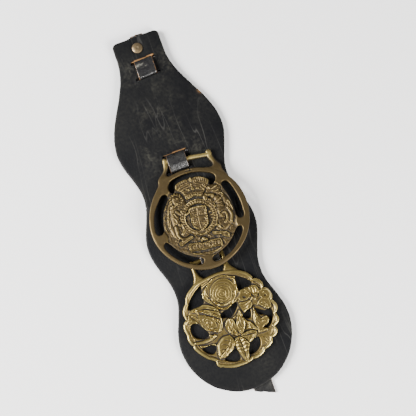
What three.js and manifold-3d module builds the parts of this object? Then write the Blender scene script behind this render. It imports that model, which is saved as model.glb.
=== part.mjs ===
// Two cast horse brasses hung on a shaped leather drop, lying on its back.
// A long narrow strap is riveted to the back of the drop at its top end. It comes up through a slit, over the
// front and down through a second slit three times, so it leaves three loops. The top loop is empty, and a
// brass hangs by its hanger bar from each of the other two. The upper brass lies partly on the lower one.
//
// Millimetres, +Z up. The origin is on the surface that the drop lies on, at the middle of the drop's length.
// +Y runs along the drop to its narrow top end, and +X is to the right as the front is seen.
import * as THREE from "three";
import { mergeVertices } from "three/addons/utils/BufferGeometryUtils.js";
import Module from "manifold-3d";

const wasm = await Module();
wasm.setup();

const GAP = 0.3; // air between two pieces that touch
const DEGREE = Math.PI / 180;

// ---------------------------------------------------------------------------------------------------------
// Solids: every piece is built from closed meshes, joined and cut as manifolds.

function solidOf(geometry) {
  const bare = geometry.index ? geometry.toNonIndexed() : geometry.clone();
  bare.deleteAttribute("normal");
  bare.deleteAttribute("uv");
  const merged = mergeVertices(bare, 1e-4);
  return new wasm.Manifold(
    new wasm.Mesh({
      numProp: 3,
      vertProperties: merged.attributes.position.array,
      triVerts: new Uint32Array(merged.index.array),
    }),
  );
}

function geometryOf(solid) {
  const mesh = solid.getMesh();
  const geometry = new THREE.BufferGeometry();
  geometry.setAttribute("position", new THREE.BufferAttribute(mesh.vertProperties, 3));
  geometry.setIndex(new THREE.BufferAttribute(mesh.triVerts, 1));
  const flat = geometry.toNonIndexed();
  flat.computeVertexNormals();
  return flat;
}

function join(solids) {
  return solids.reduce((whole, next) => whole.add(next));
}

function indexed(vertices, faces) {
  const geometry = new THREE.BufferGeometry();
  geometry.setAttribute("position", new THREE.BufferAttribute(new Float32Array(vertices.flat()), 3));
  geometry.setIndex(faces.flat());
  return geometry;
}

// A stack of outlines with the same number of points, each at its own height, closed below and above.
function stack(levels) {
  const count = levels[0].outline.length;
  const vertices = levels.flatMap(({ outline, z }) => outline.map(([x, y]) => [x, y, z]));
  const faces = [];
  for (let level = 0; level + 1 < levels.length; level++) {
    for (let i = 0; i < count; i++) {
      const low = level * count + i;
      const next = level * count + ((i + 1) % count);
      faces.push([low, next, next + count], [low, next + count, low + count]);
    }
  }
  const cap = (outline) =>
    THREE.ShapeUtils.triangulateShape(
      outline.map(([x, y]) => new THREE.Vector2(x, y)),
      [],
    );
  const last = (levels.length - 1) * count;
  cap(levels[0].outline).forEach(([a, b, c]) => faces.push([c, b, a]));
  cap(levels.at(-1).outline).forEach(([a, b, c]) => faces.push([a + last, b + last, c + last]));
  return solidOf(indexed(vertices, faces));
}

// A closed sheet over stations t from 0 to 1 and across s from -1 to 1: place gives x and y, top gives z.
// s runs to the left of the direction in which t runs.
function sheet({ stations, across, place, top, floor = 0 }) {
  const vertices = [];
  const faces = [];
  const row = across + 3;
  for (let i = 0; i <= stations; i++) {
    const t = i / stations;
    for (let j = 0; j <= across; j++) {
      const s = -1 + (2 * j) / across;
      vertices.push([...place(t, s), top(t, s)]);
    }
    vertices.push([...place(t, -1), floor], [...place(t, 1), floor]);
  }
  const quad = (a, b, c, d) => faces.push([a, b, c], [a, c, d]);
  for (let i = 0; i < stations; i++) {
    const here = i * row;
    const next = here + row;
    for (let j = 0; j < across; j++) {
      quad(here + j, next + j, next + j + 1, here + j + 1);
    }
    const [right, left] = [across + 1, across + 2];
    quad(here + right, next + right, next, here);
    quad(here + across, next + across, next + left, here + left);
    quad(here + left, next + left, next + right, here + right);
  }
  const end = stations * row;
  for (let j = 0; j < across; j++) {
    faces.push([across + 2, j, j + 1]);
    faces.push([end + across + 2, end + j + 1, end + j]);
  }
  faces.push([across + 2, across + 1, 0], [end + across + 2, end, end + across + 1]);
  return solidOf(indexed(vertices, faces));
}

// A ring whose section, a closed loop of [radius, z] points, may change with the angle.
function ring({ spokes, section, at = [0, 0] }) {
  const vertices = [];
  const faces = [];
  const size = section(0).length;
  for (let i = 0; i < spokes; i++) {
    const angle = (i / spokes) * 2 * Math.PI;
    section(angle).forEach(([r, z]) =>
      vertices.push([at[0] + r * Math.cos(angle), at[1] + r * Math.sin(angle), z]),
    );
  }
  for (let i = 0; i < spokes; i++) {
    const here = i * size;
    const next = ((i + 1) % spokes) * size;
    for (let j = 0; j < size; j++) {
      const k = (j + 1) % size;
      faces.push([here + j, next + j, next + k], [here + j, next + k, here + k]);
    }
  }
  return solidOf(indexed(vertices, faces));
}

// ---------------------------------------------------------------------------------------------------------
// Cast relief: rounded forms that stand on a plate or go right through it.

// Height of a rounded form at a share of its half width: full in the middle, edge at the rim.
function crowned(share, edge, crest) {
  return edge + (crest - edge) * Math.sqrt(Math.max(0, 1 - share * share));
}

const ROUND_SHARES = [1, 0.58];

// A form with a floor has an upright wall up to its edge. One without starts at its edge, inside a plate.
function rounded(outlineAt, { edge, crest, floor }) {
  const wall = floor === undefined ? [] : [{ outline: outlineAt(1), z: floor }];
  const back = ROUND_SHARES.map((share) => ({
    outline: outlineAt(share),
    z: crowned(share, edge, crest),
  }));
  return stack([...wall, ...back]);
}

// A limb: a bar with round ends and a rounded back, from one point and radius to another.
function limb([x0, y0, r0], [x1, y1, r1], { steps = 2, ...form }) {
  const along = Math.atan2(y1 - y0, x1 - x0);
  const outlineAt = (share) => {
    const arc = (x, y, r, from) =>
      Array.from({ length: steps + 1 }, (_, i) => {
        const angle = from + (i / steps) * Math.PI;
        return [x + share * r * Math.cos(angle), y + share * r * Math.sin(angle)];
      });
    return [...arc(x0, y0, r0, along + Math.PI / 2), ...arc(x1, y1, r1, along - Math.PI / 2)];
  };
  return rounded(outlineAt, form);
}

// Limbs one after another along a chain of joints, each joint an [x, y, radius].
function chain(joints, form) {
  return join(joints.slice(1).map((joint, i) => limb(joints[i], joint, form)));
}

// A boss or petal: a round form about a centre.
function boss([x, y], radius, { spokes = 8, ...form }) {
  const outlineAt = (share) =>
    Array.from({ length: spokes }, (_, i) => {
      const angle = (i / spokes) * 2 * Math.PI;
      return [x + share * radius * Math.cos(angle), y + share * radius * Math.sin(angle)];
    });
  return rounded(outlineAt, form);
}

// A leaf from its foot to its tip, widest at the share `belly` of its length, with a sunk midrib.
function leaf({ foot, tip, halfWidth, belly = 0.45, bend = 0, edge, crest, rib, floor = 0, stations = 7 }) {
  const [dx, dy] = [tip[0] - foot[0], tip[1] - foot[1]];
  const length = Math.hypot(dx, dy);
  const [ax, ay] = [dx / length, dy / length];
  const power = Math.log(0.5) / Math.log(belly);
  const place = (t, s) => {
    const side = s * Math.max(0.15, halfWidth * Math.sin(Math.PI * t ** power)) + bend * 4 * t * (1 - t);
    return [foot[0] + ax * length * t - ay * side, foot[1] + ay * length * t + ax * side];
  };
  const top = (t, s) => {
    const swell = Math.sin(Math.PI * t ** power);
    const across = Math.abs(s);
    const height = across > 0.5 ? edge + (crest - edge) * (1 - across) * 2 : crest - rib * (1 - 2 * across);
    return edge + (height - edge) * (0.35 + 0.65 * swell);
  };
  return sheet({ stations, across: 4, place, top, floor });
}

// A band on an arc between two radii and two angles in degrees, crowned across its width.
function arcBand({ at = [0, 0], inner, outer, from, to, edge, crest, floor = 0, stations = 10 }) {
  const place = (t, s) => {
    const angle = (from + (to - from) * t) * DEGREE;
    const r = (inner + outer) / 2 - ((outer - inner) / 2) * s;
    return [at[0] + r * Math.cos(angle), at[1] + r * Math.sin(angle)];
  };
  return sheet({ stations, across: 2, place, top: (t, s) => crowned(Math.abs(s), edge, crest), floor });
}

// ---------------------------------------------------------------------------------------------------------
// Heights of the pieces as they lie on one another.

const STRAP = { width: 16, thickness: 1.8 };
const BACKING_THICKNESS = 3.5;
const BACKING_LOW = STRAP.thickness + GAP;
const BACKING_HIGH = BACKING_LOW + BACKING_THICKNESS;
const HANGER_BAR = { halfWidth: 1.8, thickness: 2.6 };
const LOOP_PITCH = 83;
// Each loop's middle between its two slits, how far the slits are turned, and where over it a bar lies.
const LOOPS = [
  { y: 124, turn: 4.2, bar: false, overBar: 0 },
  { y: 39.8, turn: 2, bar: true, overBar: 1.3 },
  { y: -42.5, turn: 3.3, bar: true, overBar: 0 },
];
const SLIT = { offset: 7, halfLength: 9.6, height: 2.6, endRadius: 1.5 };
const RIVET = { at: [-1.4, 142.5], headRadius: 4.6, shankRadius: 1.6, footRadius: 3 };

// ---------------------------------------------------------------------------------------------------------
// Leather backing: a flat drop of thick bridle leather, three lobes wide, narrowed to a neck at the top.

const BACKING = {
  top: 153,
  neckHalf: 20.5,
  neckRun: 75,
  firstLobe: 61,
  midHalf: 41,
  swing: 4.9,
  endRun: 47.5,
  cornerRadius: 4,
  edgeRound: 0.7,
  topSkew: 0.9,
  neckLean: 0.8,
};

function backingOutline() {
  const { top, neckHalf, neckRun, firstLobe, midHalf, swing, endRun, cornerRadius, topSkew, neckLean } =
    BACKING;
  const widest = midHalf + swing;
  const lastLobe = firstLobe - 2 * LOOP_PITCH;
  const right = [];
  const endSteps = 9;
  for (let i = 0; i < endSteps; i++) {
    const angle = (-90 + (90 * i) / endSteps) * DEGREE;
    right.push([widest * Math.cos(angle), lastLobe + endRun * Math.sin(angle)]);
  }
  const waveSteps = 22;
  for (let i = 0; i < waveSteps; i++) {
    const turns = (2 * i) / waveSteps;
    right.push([midHalf + swing * Math.cos(2 * Math.PI * turns), lastLobe + LOOP_PITCH * turns]);
  }
  const neckSteps = 8;
  for (let i = 0; i <= neckSteps; i++) {
    const fall = (1 + Math.cos((Math.PI * i) / neckSteps)) / 2;
    right.push([neckHalf + (widest - neckHalf) * fall, firstLobe + (neckRun * i) / neckSteps]);
  }
  const cornerSteps = 3;
  for (let i = 0; i <= cornerSteps; i++) {
    const angle = ((90 * i) / cornerSteps) * DEGREE;
    right.push([
      neckHalf - cornerRadius + cornerRadius * Math.cos(angle),
      top - cornerRadius + cornerRadius * Math.sin(angle),
    ]);
  }
  const left = right
    .slice(1)
    .reverse()
    .map(([x, y]) => [-x, y]);
  const skewed = ([x, y]) => [
    x - neckLean * smoothstep((y - firstLobe) / neckRun),
    y > top - 2 * cornerRadius ? y + (topSkew * x) / neckHalf : y,
  ];
  return [...right, ...left].map(skewed);
}

function slitCutter(y, turn) {
  const { halfLength, height, endRadius } = SLIT;
  const slot = new THREE.BoxGeometry(2 * halfLength, height, 3 * BACKING_THICKNESS);
  const hole = new THREE.CylinderGeometry(endRadius, endRadius, 3 * BACKING_THICKNESS, 6);
  hole.rotateX(Math.PI / 2);
  const cut = join([
    solidOf(slot),
    solidOf(hole.clone().translate(halfLength, 0, 0)),
    solidOf(hole.clone().translate(-halfLength, 0, 0)),
  ]);
  return cut.rotate([0, 0, turn]).translate([0, y, BACKING_LOW]);
}

function roundHole(radius, low, high) {
  const cutter = new THREE.CylinderGeometry(radius, radius, high - low, 20);
  cutter.rotateX(Math.PI / 2).translate(...RIVET.at, (low + high) / 2);
  return solidOf(cutter);
}

function backing() {
  const { edgeRound } = BACKING;
  const outline = new THREE.Shape(backingOutline().map(([x, y]) => new THREE.Vector2(x, y)));
  const slab = new THREE.ExtrudeGeometry(outline, {
    depth: BACKING_THICKNESS - 2 * edgeRound,
    bevelThickness: edgeRound,
    bevelSize: edgeRound,
    bevelOffset: -edgeRound,
    bevelSegments: 1,
  });
  slab.translate(0, 0, BACKING_LOW + edgeRound);
  const cutters = LOOPS.flatMap(({ y, turn }) => {
    const shift = (sign) => y + (sign * SLIT.offset) / Math.cos(turn * DEGREE);
    return [slitCutter(shift(1), turn), slitCutter(shift(-1), turn)];
  });
  cutters.push(roundHole(RIVET.shankRadius + GAP, 0, BACKING_HIGH + 1));
  return cutters.reduce((whole, cut) => whole.subtract(cut), solidOf(slab));
}

// ---------------------------------------------------------------------------------------------------------
// Threaded strap: one narrow strip of thinner leather. Behind the backing it lies flat, and at each loop it
// stands up through the slits. Its top end is torn, and its tail runs out to one side below the backing.

const TAIL = { drift: 7.6, driftFrom: -60, driftTo: -150, right: -161, left: -155 };
const TORN_END = { y: 156.4, teeth: 6, depth: 1.6, tornLeft: 4.4, right: 6.6 };
const BEND = { low: 1.5, shoulder: 1.5, crest: 2.4 };

// The strap's middle line in the plane of y and z, as points with the radius of the bend at each.
function strapRoute() {
  const behind = STRAP.thickness / 2;
  const onFront = BACKING_HIGH + GAP + STRAP.thickness / 2;
  const overBar = BACKING_HIGH + 0.5 + HANGER_BAR.thickness + GAP + STRAP.thickness / 2;
  const route = [[TORN_END.y, behind, 0]];
  for (const { y, bar, overBar: shift } of LOOPS) {
    const crest = bar ? overBar : onFront + 1.5;
    const flat = bar ? 3 : 2.2;
    const shoulder = bar ? onFront - 0.1 : onFront;
    route.push([y + SLIT.offset, behind, BEND.low], [y + SLIT.offset, shoulder, BEND.shoulder]);
    route.push([y + shift + flat, crest, BEND.crest], [y + shift - flat, crest, BEND.crest]);
    route.push([y - SLIT.offset, shoulder, BEND.shoulder], [y - SLIT.offset, behind, BEND.low]);
  }
  route.push([TAIL.right - 1, behind, 0]);
  return route;
}

// The same route with its corners rounded off, as points and the direction at each.
function roundedRoute(route, arcSteps = 2) {
  const points = [];
  route.forEach(([y, z, radius], i) => {
    if (i === 0 || i === route.length - 1) {
      points.push(new THREE.Vector2(y, z));
      return;
    }
    const here = new THREE.Vector2(y, z);
    const back = new THREE.Vector2(...route[i - 1]).sub(here);
    const on = new THREE.Vector2(...route[i + 1]).sub(here);
    const half = Math.acos(back.clone().normalize().dot(on.clone().normalize())) / 2;
    const reach = Math.min(radius / Math.tan(half), back.length() * 0.48, on.length() * 0.48);
    const start = here.clone().addScaledVector(back.normalize(), reach);
    const finish = here.clone().addScaledVector(on.normalize(), reach);
    for (let k = 0; k <= arcSteps; k++) {
      const t = k / arcSteps;
      const a = start.clone().lerp(here, t);
      points.push(a.lerp(here.clone().lerp(finish, t), t));
    }
  });
  return points;
}

function smoothstep(t) {
  const u = Math.min(1, Math.max(0, t));
  return u * u * (3 - 2 * u);
}

// How far the strap has wandered to +X at y, and how much it is slewed to follow a crooked pair of slits.
function strapDrift(y) {
  return TAIL.drift * smoothstep((y - TAIL.driftFrom) / (TAIL.driftTo - TAIL.driftFrom));
}

function strapSlew(y) {
  const reach = 2.2 * SLIT.offset;
  return LOOPS.reduce((sum, loop) => {
    const near = 1 - smoothstep((Math.abs(y - loop.y) - SLIT.offset - 2) / (reach - SLIT.offset));
    return sum + Math.tan(loop.turn * DEGREE) * near;
  }, 0);
}

function strap() {
  const middle = roundedRoute(strapRoute());
  const runs = [];
  const lastBend = middle.length - 2;
  middle.slice(0, -1).forEach((p, i) => {
    const from = middle[Math.max(0, i - 1)];
    const to = middle[i + 1];
    const normal = new THREE.Vector2(from.y - to.y, to.x - from.x).normalize();
    const tailSteps = i === lastBend ? 9 : 0;
    for (let k = 0; k <= tailSteps; k++) {
      runs.push({ p: p.clone().lerp(to, k / Math.max(1, tailSteps)), normal });
    }
  });
  const half = STRAP.width / 2;
  const corners = [[half, 1], [-half, 1], [-half, -1], [half, -1]];
  const vertices = runs.flatMap(({ p, normal }) =>
    corners.map(([x, side]) => {
      const { x: y, y: z } = p.clone().addScaledVector(normal, (side * STRAP.thickness) / 2);
      return [x + strapDrift(y), y + x * strapSlew(y), z];
    }),
  );
  const faces = [];
  const quad = (a, b, c, d) => faces.push([a, b, c], [a, c, d]);
  for (let row = 0; row + 4 < vertices.length; row += 4) {
    for (let corner = 0; corner < 4; corner++) {
      const [here, beside] = [row + corner, row + ((corner + 1) % 4)];
      quad(here, here + 4, beside + 4, beside);
    }
  }
  const last = vertices.length - 4;
  quad(0, 1, 2, 3);
  quad(last + 3, last + 2, last + 1, last);
  const whole = solidOf(indexed(vertices, faces));
  const cutters = [
    tailCutter(),
    tornEndCutter(),
    roundHole(RIVET.shankRadius + GAP, -1, BACKING_LOW),
    roundHole(RIVET.footRadius + GAP, -1, 1.05),
  ];
  return cutters.reduce((left, cut) => left.subtract(cut), whole);
}

function upright(outline) {
  return stack([
    { outline, z: -2 },
    { outline, z: BACKING_LOW - 0.05 },
  ]);
}

// The tail is cut off on a slant, and its end has curled a little so the edge isn't straight.
function tailCutter() {
  const [low, high] = [TAIL.drift - STRAP.width, TAIL.drift + STRAP.width];
  const level = (x) =>
    TAIL.left + (TAIL.right - TAIL.left) * ((x - TAIL.drift) / STRAP.width + 0.5);
  const steps = 7;
  const edge = Array.from({ length: steps + 1 }, (_, i) => {
    const x = low + ((high - low) * i) / steps;
    return [x, level(x) + 0.5 * Math.sin(i * 2.1)];
  });
  return upright([...edge.reverse(), [low, TAIL.right - 12], [high, TAIL.right - 12]]);
}

// The other end is torn: short on the left, and ragged where it shows beyond the backing.
function tornEndCutter() {
  const { y, teeth, depth, tornLeft, right } = TORN_END;
  const half = STRAP.width / 2;
  const edge = [[-half - 2, y - 6], [-tornLeft - 0.6, y - 5]];
  for (let i = 0; i <= teeth * 2; i++) {
    const x = -tornLeft + ((tornLeft + right) * i) / (teeth * 2);
    edge.push([x, y - (i % 2 ? 0.1 : depth * (0.6 + 0.4 * Math.sin(i * 1.7)))]);
  }
  const step = [[right + 0.4, y - 4.4], [half + 2, y - 4.8]];
  return upright([...edge, ...step, [half + 2, y + 6], [-half - 2, y + 6]]);
}

// ---------------------------------------------------------------------------------------------------------
// Rivet: a low brass dome with a dimple in its middle, its shank through both leathers, its foot spread
// into the back of the strap.

function rivet() {
  const { headRadius, shankRadius, footRadius, at } = RIVET;
  const seat = BACKING_HIGH + GAP / 2;
  const rise = 1.3;
  const dome = [0, 30, 65].map((a) => {
    const angle = a * DEGREE;
    return [headRadius * Math.cos(angle), seat + 0.3 + (rise - 0.3) * Math.sin(angle)];
  });
  const profile = [
    [0, 0.1],
    [footRadius, 0.1],
    [footRadius, 0.55],
    [shankRadius, 0.75],
    [shankRadius, seat],
    [headRadius, seat],
    ...dome,
    [headRadius * 0.24, seat + rise - 0.35],
    [0, seat + rise - 0.45],
  ].map(([r, z]) => new THREE.Vector2(r, z));
  const turned = new THREE.LatheGeometry(profile, 14);
  turned.rotateX(Math.PI / 2);
  turned.translate(...at, 0);
  return solidOf(turned);
}

// ---------------------------------------------------------------------------------------------------------
// Crest brass: a plain ring round a pierced disc, with a crowned coat of arms in low relief between two
// rearing beasts. Its own frame has the ring's centre at the origin and its back at z = 0.

const CREST = {
  ringOuter: 41.3,
  ringInner: 36.4,
  ringDrop: 0.4,
  ringOval: 0.6,
  ringTop: 3.2,
  plate: 2.4,
  barY: 51.2,
  barX: 0.5,
  legRadius: 2.15,
  tilt: 3.45,
  turn: -6.45,
  at: [2, -10.4],
};

// Five curved slots with round ends lie between the disc and the ring, each given by two end angles in
// degrees and the radii of its two sides.
const CREST_SLOTS = [
  { from: 57.5, to: 123.8, inner: 28.6, outer: 38 },
  { from: -10, to: 46, inner: 29.8, outer: 36.6 },
  { from: 133.6, to: 192, inner: 29, outer: 35.5 },
  { from: 203.6, to: 266, inner: 30.1, outer: 35.8 },
  { from: -85.6, to: -20.7, inner: 30.7, outer: 36.5 },
];

function slotPath({ from, to, inner, outer }) {
  const onArc = (radius, degrees) => {
    const angle = degrees * DEGREE;
    return new THREE.Vector2(radius * Math.cos(angle), radius * Math.sin(angle));
  };
  const trim = (outer - inner) / 2 / ((outer + inner) / 2) / DEGREE;
  const [a, b] = [from + trim, to - trim];
  const side = (radius, start, finish, steps) =>
    Array.from({ length: steps + 1 }, (_, i) => onArc(radius, start + ((finish - start) * i) / steps));
  const roundEnd = (start, finish) => {
    const middle = start.clone().add(finish).multiplyScalar(0.5);
    const arm = start.clone().sub(middle);
    return [50, 90, 130].map((degrees) => arm.clone().rotateAround({ x: 0, y: 0 }, degrees * DEGREE).add(middle));
  };
  return new THREE.Path([
    ...side(outer, a, b, 7),
    ...roundEnd(onArc(outer, b), onArc(inner, b)),
    ...side(inner, b, a, 6),
    ...roundEnd(onArc(inner, a), onArc(outer, a)),
  ]);
}

function crestPlate() {
  const disc = new THREE.Shape();
  disc.absarc(0, 0, CREST.ringInner + 3, 0, 2 * Math.PI);
  disc.holes = CREST_SLOTS.map(slotPath);
  return solidOf(
    new THREE.ExtrudeGeometry(disc, { depth: CREST.plate, bevelEnabled: false, curveSegments: 20 }),
  );
}

function crestRing() {
  const { ringOuter, ringInner, ringDrop, ringOval, ringTop } = CREST;
  return ring({
    spokes: 40,
    at: [0, -ringDrop],
    section: (angle) => {
      const outer = ringOuter - ringOval * Math.cos(2 * angle);
      const inner = ringInner - ringOval * Math.cos(2 * angle) + Math.max(0, Math.sin(angle)) ** 6;
      return [
        [outer, 0],
        [outer, ringTop - 0.9],
        [outer - 1.1, ringTop],
        [inner + 0.8, ringTop],
        [inner, 0],
      ];
    },
  });
}

// The hanger: two cranked legs up from the ring, a rounded ear on each, and the bar between them.
function crestHanger() {
  const { barY, barX, legRadius } = CREST;
  const form = { edge: 1.6, crest: HANGER_BAR.thickness, floor: 0 };
  const leg = (side) =>
    chain(
      [
        [side * 24.8, 31.5, legRadius + 1.1],
        [barX + side * 23.4, 39, legRadius],
        [barX + side * 18.7, 46.2, legRadius],
        [barX + side * 18.2, barY + 1.4, legRadius],
      ],
      form,
    );
  const end = (side) => [barX + side * 18.2, barY, HANGER_BAR.halfWidth];
  const bar = limb(end(-1), end(1), form);
  return join([leg(-1), leg(1), bar]);
}

const RELIEF = { edge: 1.9, crest: 4.2 };

// Crown: fans out above the belt in concentric rows, from a jewelled band to a cap with an orb.
function crown() {
  const row = (inner, outer, spread, crest) =>
    arcBand({ inner, outer, from: 90 - spread, to: 90 + spread, edge: crest - 0.6, crest, floor: 0, stations: 7 });
  const parts = [row(15.2, 18.4, 26, 4.1), row(18, 28.4, 29, 3.4), row(28, 33.6, 27, 4)];
  for (let i = -2; i <= 2; i++) {
    const angle = (90 + 11.5 * i) * DEGREE;
    const at = [21 * Math.cos(angle), 21 * Math.sin(angle)];
    parts.push(boss(at, 1.7, { edge: 3, crest: 4.6, spokes: 6 }));
  }
  for (const lean of [-17, 17]) {
    const foot = (90 + lean) * DEGREE;
    const head = (90 + lean * 0.25) * DEGREE;
    parts.push(
      limb(
        [24 * Math.cos(foot), 24 * Math.sin(foot), 1.2],
        [28.5 * Math.cos(head), 28.5 * Math.sin(head), 1.2],
        { edge: 3, crest: 4.5 },
      ),
    );
  }
  parts.push(boss([0, 31.4], 2.2, { edge: 3.2, crest: 5, spokes: 7 }));
  return join(parts);
}

// Belt: a raised ring round the shield, and the shield itself, quartered by two low bars.
function beltAndShield() {
  const belt = ring({
    spokes: 22,
    at: [0.2, 0.4],
    section: () => [
      [14.9, 1.5],
      [14.4, 4],
      [11.4, 4],
      [10.8, 1.5],
    ],
  });
  const shieldOutline = (share) => {
    const half = 6.9 * share;
    const top = 8.8 - 2 * (1 - share);
    const points = [[half, top], [-half, top]];
    const steps = 6;
    for (let i = 0; i <= steps; i++) {
      const angle = (180 + (180 * i) / steps) * DEGREE;
      points.push([half * Math.cos(angle), -2.5 + 7.3 * share * Math.sin(angle)]);
    }
    return points;
  };
  const shield = stack([
    { outline: shieldOutline(1), z: 1.5 },
    { outline: shieldOutline(1), z: 4.1 },
    { outline: shieldOutline(0.85), z: 4.6 },
  ]);
  const bars = [
    limb([0, 7.6, 0.8], [0, -8.4, 0.8], { edge: 4.4, crest: 5 }),
    limb([-5.8, 0.4, 0.8], [5.8, 0.4, 0.8], { edge: 4.4, crest: 5 }),
  ];
  return join([belt, shield, ...bars]);
}

// The two supporters rear up against the belt, a maned beast on the left and a horned horse on the right.
function supporters() {
  const lion = [
    boss([-15.8, 17], 6.4, { edge: 2, crest: 4.5, spokes: 9 }),
    boss([-15.2, 17.6], 3.2, { edge: 4, crest: 5.5, spokes: 7 }),
    limb([-16.2, 22, 2.4], [-16.2, 24.4, 2], { ...RELIEF, crest: 4.8 }),
    chain([[-18, 12, 5.2], [-17.2, 3, 4.6], [-17, -5.6, 4.6]], RELIEF),
    limb([-14.6, 10.4, 2.2], [-9.8, 7.4, 1.9], RELIEF),
    limb([-14, 2.2, 2.2], [-10.4, -1.6, 1.8], RELIEF),
    chain([[-16.4, -6, 3.6], [-19.6, -10.6, 2.4], [-14, -12.4, 1.8]], RELIEF),
    chain([[-21.4, -8, 1.8], [-25.8, 0, 1.7], [-24.8, 9, 1.7], [-22, 15, 2.2]], RELIEF),
  ];
  const horse = [
    chain([[9, 17.6, 1.8], [12.6, 20, 2.8], [17.4, 14.6, 4.4], [18, 5, 5], [17.4, -5, 4.4]], RELIEF),
    limb([12.6, 22, 1], [16, 26.6, 0.6], RELIEF),
    limb([15, 10.4, 2.2], [9.8, 7, 1.7], RELIEF),
    limb([15, 2, 2.2], [10.4, -2.4, 1.7], RELIEF),
    chain([[17, -5.4, 3.6], [20.4, -10.6, 2.2], [14.4, -12.6, 1.7]], RELIEF),
    chain([[21.4, -7, 1.8], [25.6, 0.6, 1.8], [24.4, 10, 2], [22.4, 15, 1.8]], RELIEF),
  ];
  return join([...lion, ...horse]);
}

// The mound that the beasts stand on: two sloping blocks, a rose between them, and a scroll below.
function compartment() {
  const block = (side) =>
    limb([side * 9.6, -13.8, 2.2], [side * 19.6, -17.8, 2.2], { edge: 2, crest: 4.5 });
  const scroll = sheet({
    stations: 8,
    across: 2,
    place: (t, s) => {
      const x = 13.2 * (1 - 2 * t);
      return [x, -21.4 - 1.4 * (1 - (x / 13.2) ** 2) - 2.7 * s];
    },
    top: (t, s) => 4.2 - 0.5 * Math.abs(s) + 0.3 * Math.cos(4 * Math.PI * t),
    floor: 1.5,
  });
  const ridge = (inner, outer) =>
    arcBand({ at: [0, -1], inner, outer, from: 246, to: 294, edge: 2.8, crest: 3.5, floor: 0, stations: 5 });
  const rose = boss([0, -17], 1.8, { edge: 2, crest: 5, spokes: 7 });
  return join([block(-1), block(1), scroll, rose, ridge(25.9, 27.5), ridge(28.2, 30.2)]);
}

function crestBrass() {
  return join([crestPlate(), crestRing(), crestHanger(), crown(), beltAndShield(), supporters(), compartment()]);
}

// ---------------------------------------------------------------------------------------------------------
// Flower brass: a scalloped ring round a pierced plate, with flowers and leaves standing on the plate. Its
// own frame has the ring's centre at the origin and its back at z = 0.

const FLOWER = {
  ringOuter: 37.6,
  ringInner: 33.9,
  ringTop: 3,
  plate: 2,
  plateRadius: 36.5,
  rimShift: -0.6,
  windowReach: 35,
  windowRound: 0.3,
  scallop: 1,
  scallopPitch: 16.5,
  scallopLead: 4,
  barY: 52,
  legX: 12.7,
  legRadius: 1.95,
  turn: 3.3,
  at: [0.5, -94.6],
};

// The windows between the flowers. Some run out to the rim between two angles in degrees, and the rest of
// each outline rounds off the corners given.
const FLOWER_WINDOWS = [
  { rim: [112, 142], corners: [[-22, 18.6], [-14.8, 18.6], [-15.4, 27]] },
  { rim: [37, 60], corners: [[14.4, 28], [14.2, 18.4], [22, 18.4]] },
  { rim: [167, 190], corners: [[-21.6, -7.4], [-22, -2], [-25.6, 6.8]] },
  { rim: [204, 221], corners: [[-19, -19.6], [-19.2, -13.6], [-27, -13.2]] },
  { rim: [237, 263], corners: [[-4.6, -31], [-5.6, -22.8], [-12, -25.6]] },
  { rim: [276, 298], corners: [[14.8, -20.4], [5.6, -22.6], [3.6, -29]] },
  { rim: [-30, -6], corners: [[27, -1.6], [20, 2], [21, -5], [28.4, -9.6], [22.6, -16.4]] },
  { rim: [], corners: [[-7, 8.8], [0, 7], [9, 12.4], [9, 6], [1.4, 0.6], [-6.6, 2.4]] },
  { rim: [], corners: [[8.6, 1.2], [11.4, -5.4], [15.6, -5.4], [18.4, 1.6]] },
];

function windowPath({ rim, corners }) {
  const reach = FLOWER.windowReach / Math.cos(((rim[1] - rim[0]) / 2) * DEGREE);
  const onRim = rim.map((degrees) => {
    const angle = degrees * DEGREE;
    return [reach * Math.cos(angle), reach * Math.sin(angle)];
  });
  const all = [...onRim, ...corners];
  const beside = (i, j) => {
    const [corner, other] = [all[i], all[(j + all.length) % all.length]];
    return corner.map((value, axis) => value + FLOWER.windowRound * (other[axis] - value));
  };
  const path = new THREE.Path();
  path.moveTo(...beside(0, -1));
  all.forEach((corner, i) => {
    path.lineTo(...beside(i, i - 1));
    path.quadraticCurveTo(...corner, ...beside(i, i + 1));
  });
  return path;
}

function flowerPlate() {
  const disc = new THREE.Shape();
  disc.absarc(0, 0, FLOWER.plateRadius, 0, 2 * Math.PI);
  const outline = new THREE.Shape(disc.getPoints(20));
  outline.holes = FLOWER_WINDOWS.map(windowPath);
  return solidOf(
    new THREE.ExtrudeGeometry(outline, { depth: FLOWER.plate, bevelEnabled: false, curveSegments: 1 }),
  );
}

// How far the rim swells out at an angle: round lobes with sharp valleys, full on the right and lower right,
// faint on the left, and none between the hanger's legs.
function scallopAt(angle) {
  const degrees = (((angle / DEGREE) % 360) + 360) % 360;
  const { scallop, scallopPitch, scallopLead } = FLOWER;
  const right = degrees < 42 || degrees > 297;
  const top = degrees > 42 && degrees < 132;
  const strength = right ? 1 : top ? 0.2 : 0.5;
  return scallop * strength * Math.abs(Math.cos((Math.PI * (degrees + scallopLead)) / scallopPitch)) ** 0.7;
}

function flowerRing() {
  const { ringOuter, ringInner, ringTop, rimShift } = FLOWER;
  return ring({
    spokes: 66,
    section: (angle) => {
      const outer = ringOuter + scallopAt(angle) + rimShift * Math.cos(angle);
      return [
        [outer, 0],
        [outer, ringTop - 1.1],
        [(outer + ringInner) / 2, ringTop],
        [ringInner, 0],
      ];
    },
  });
}

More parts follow.
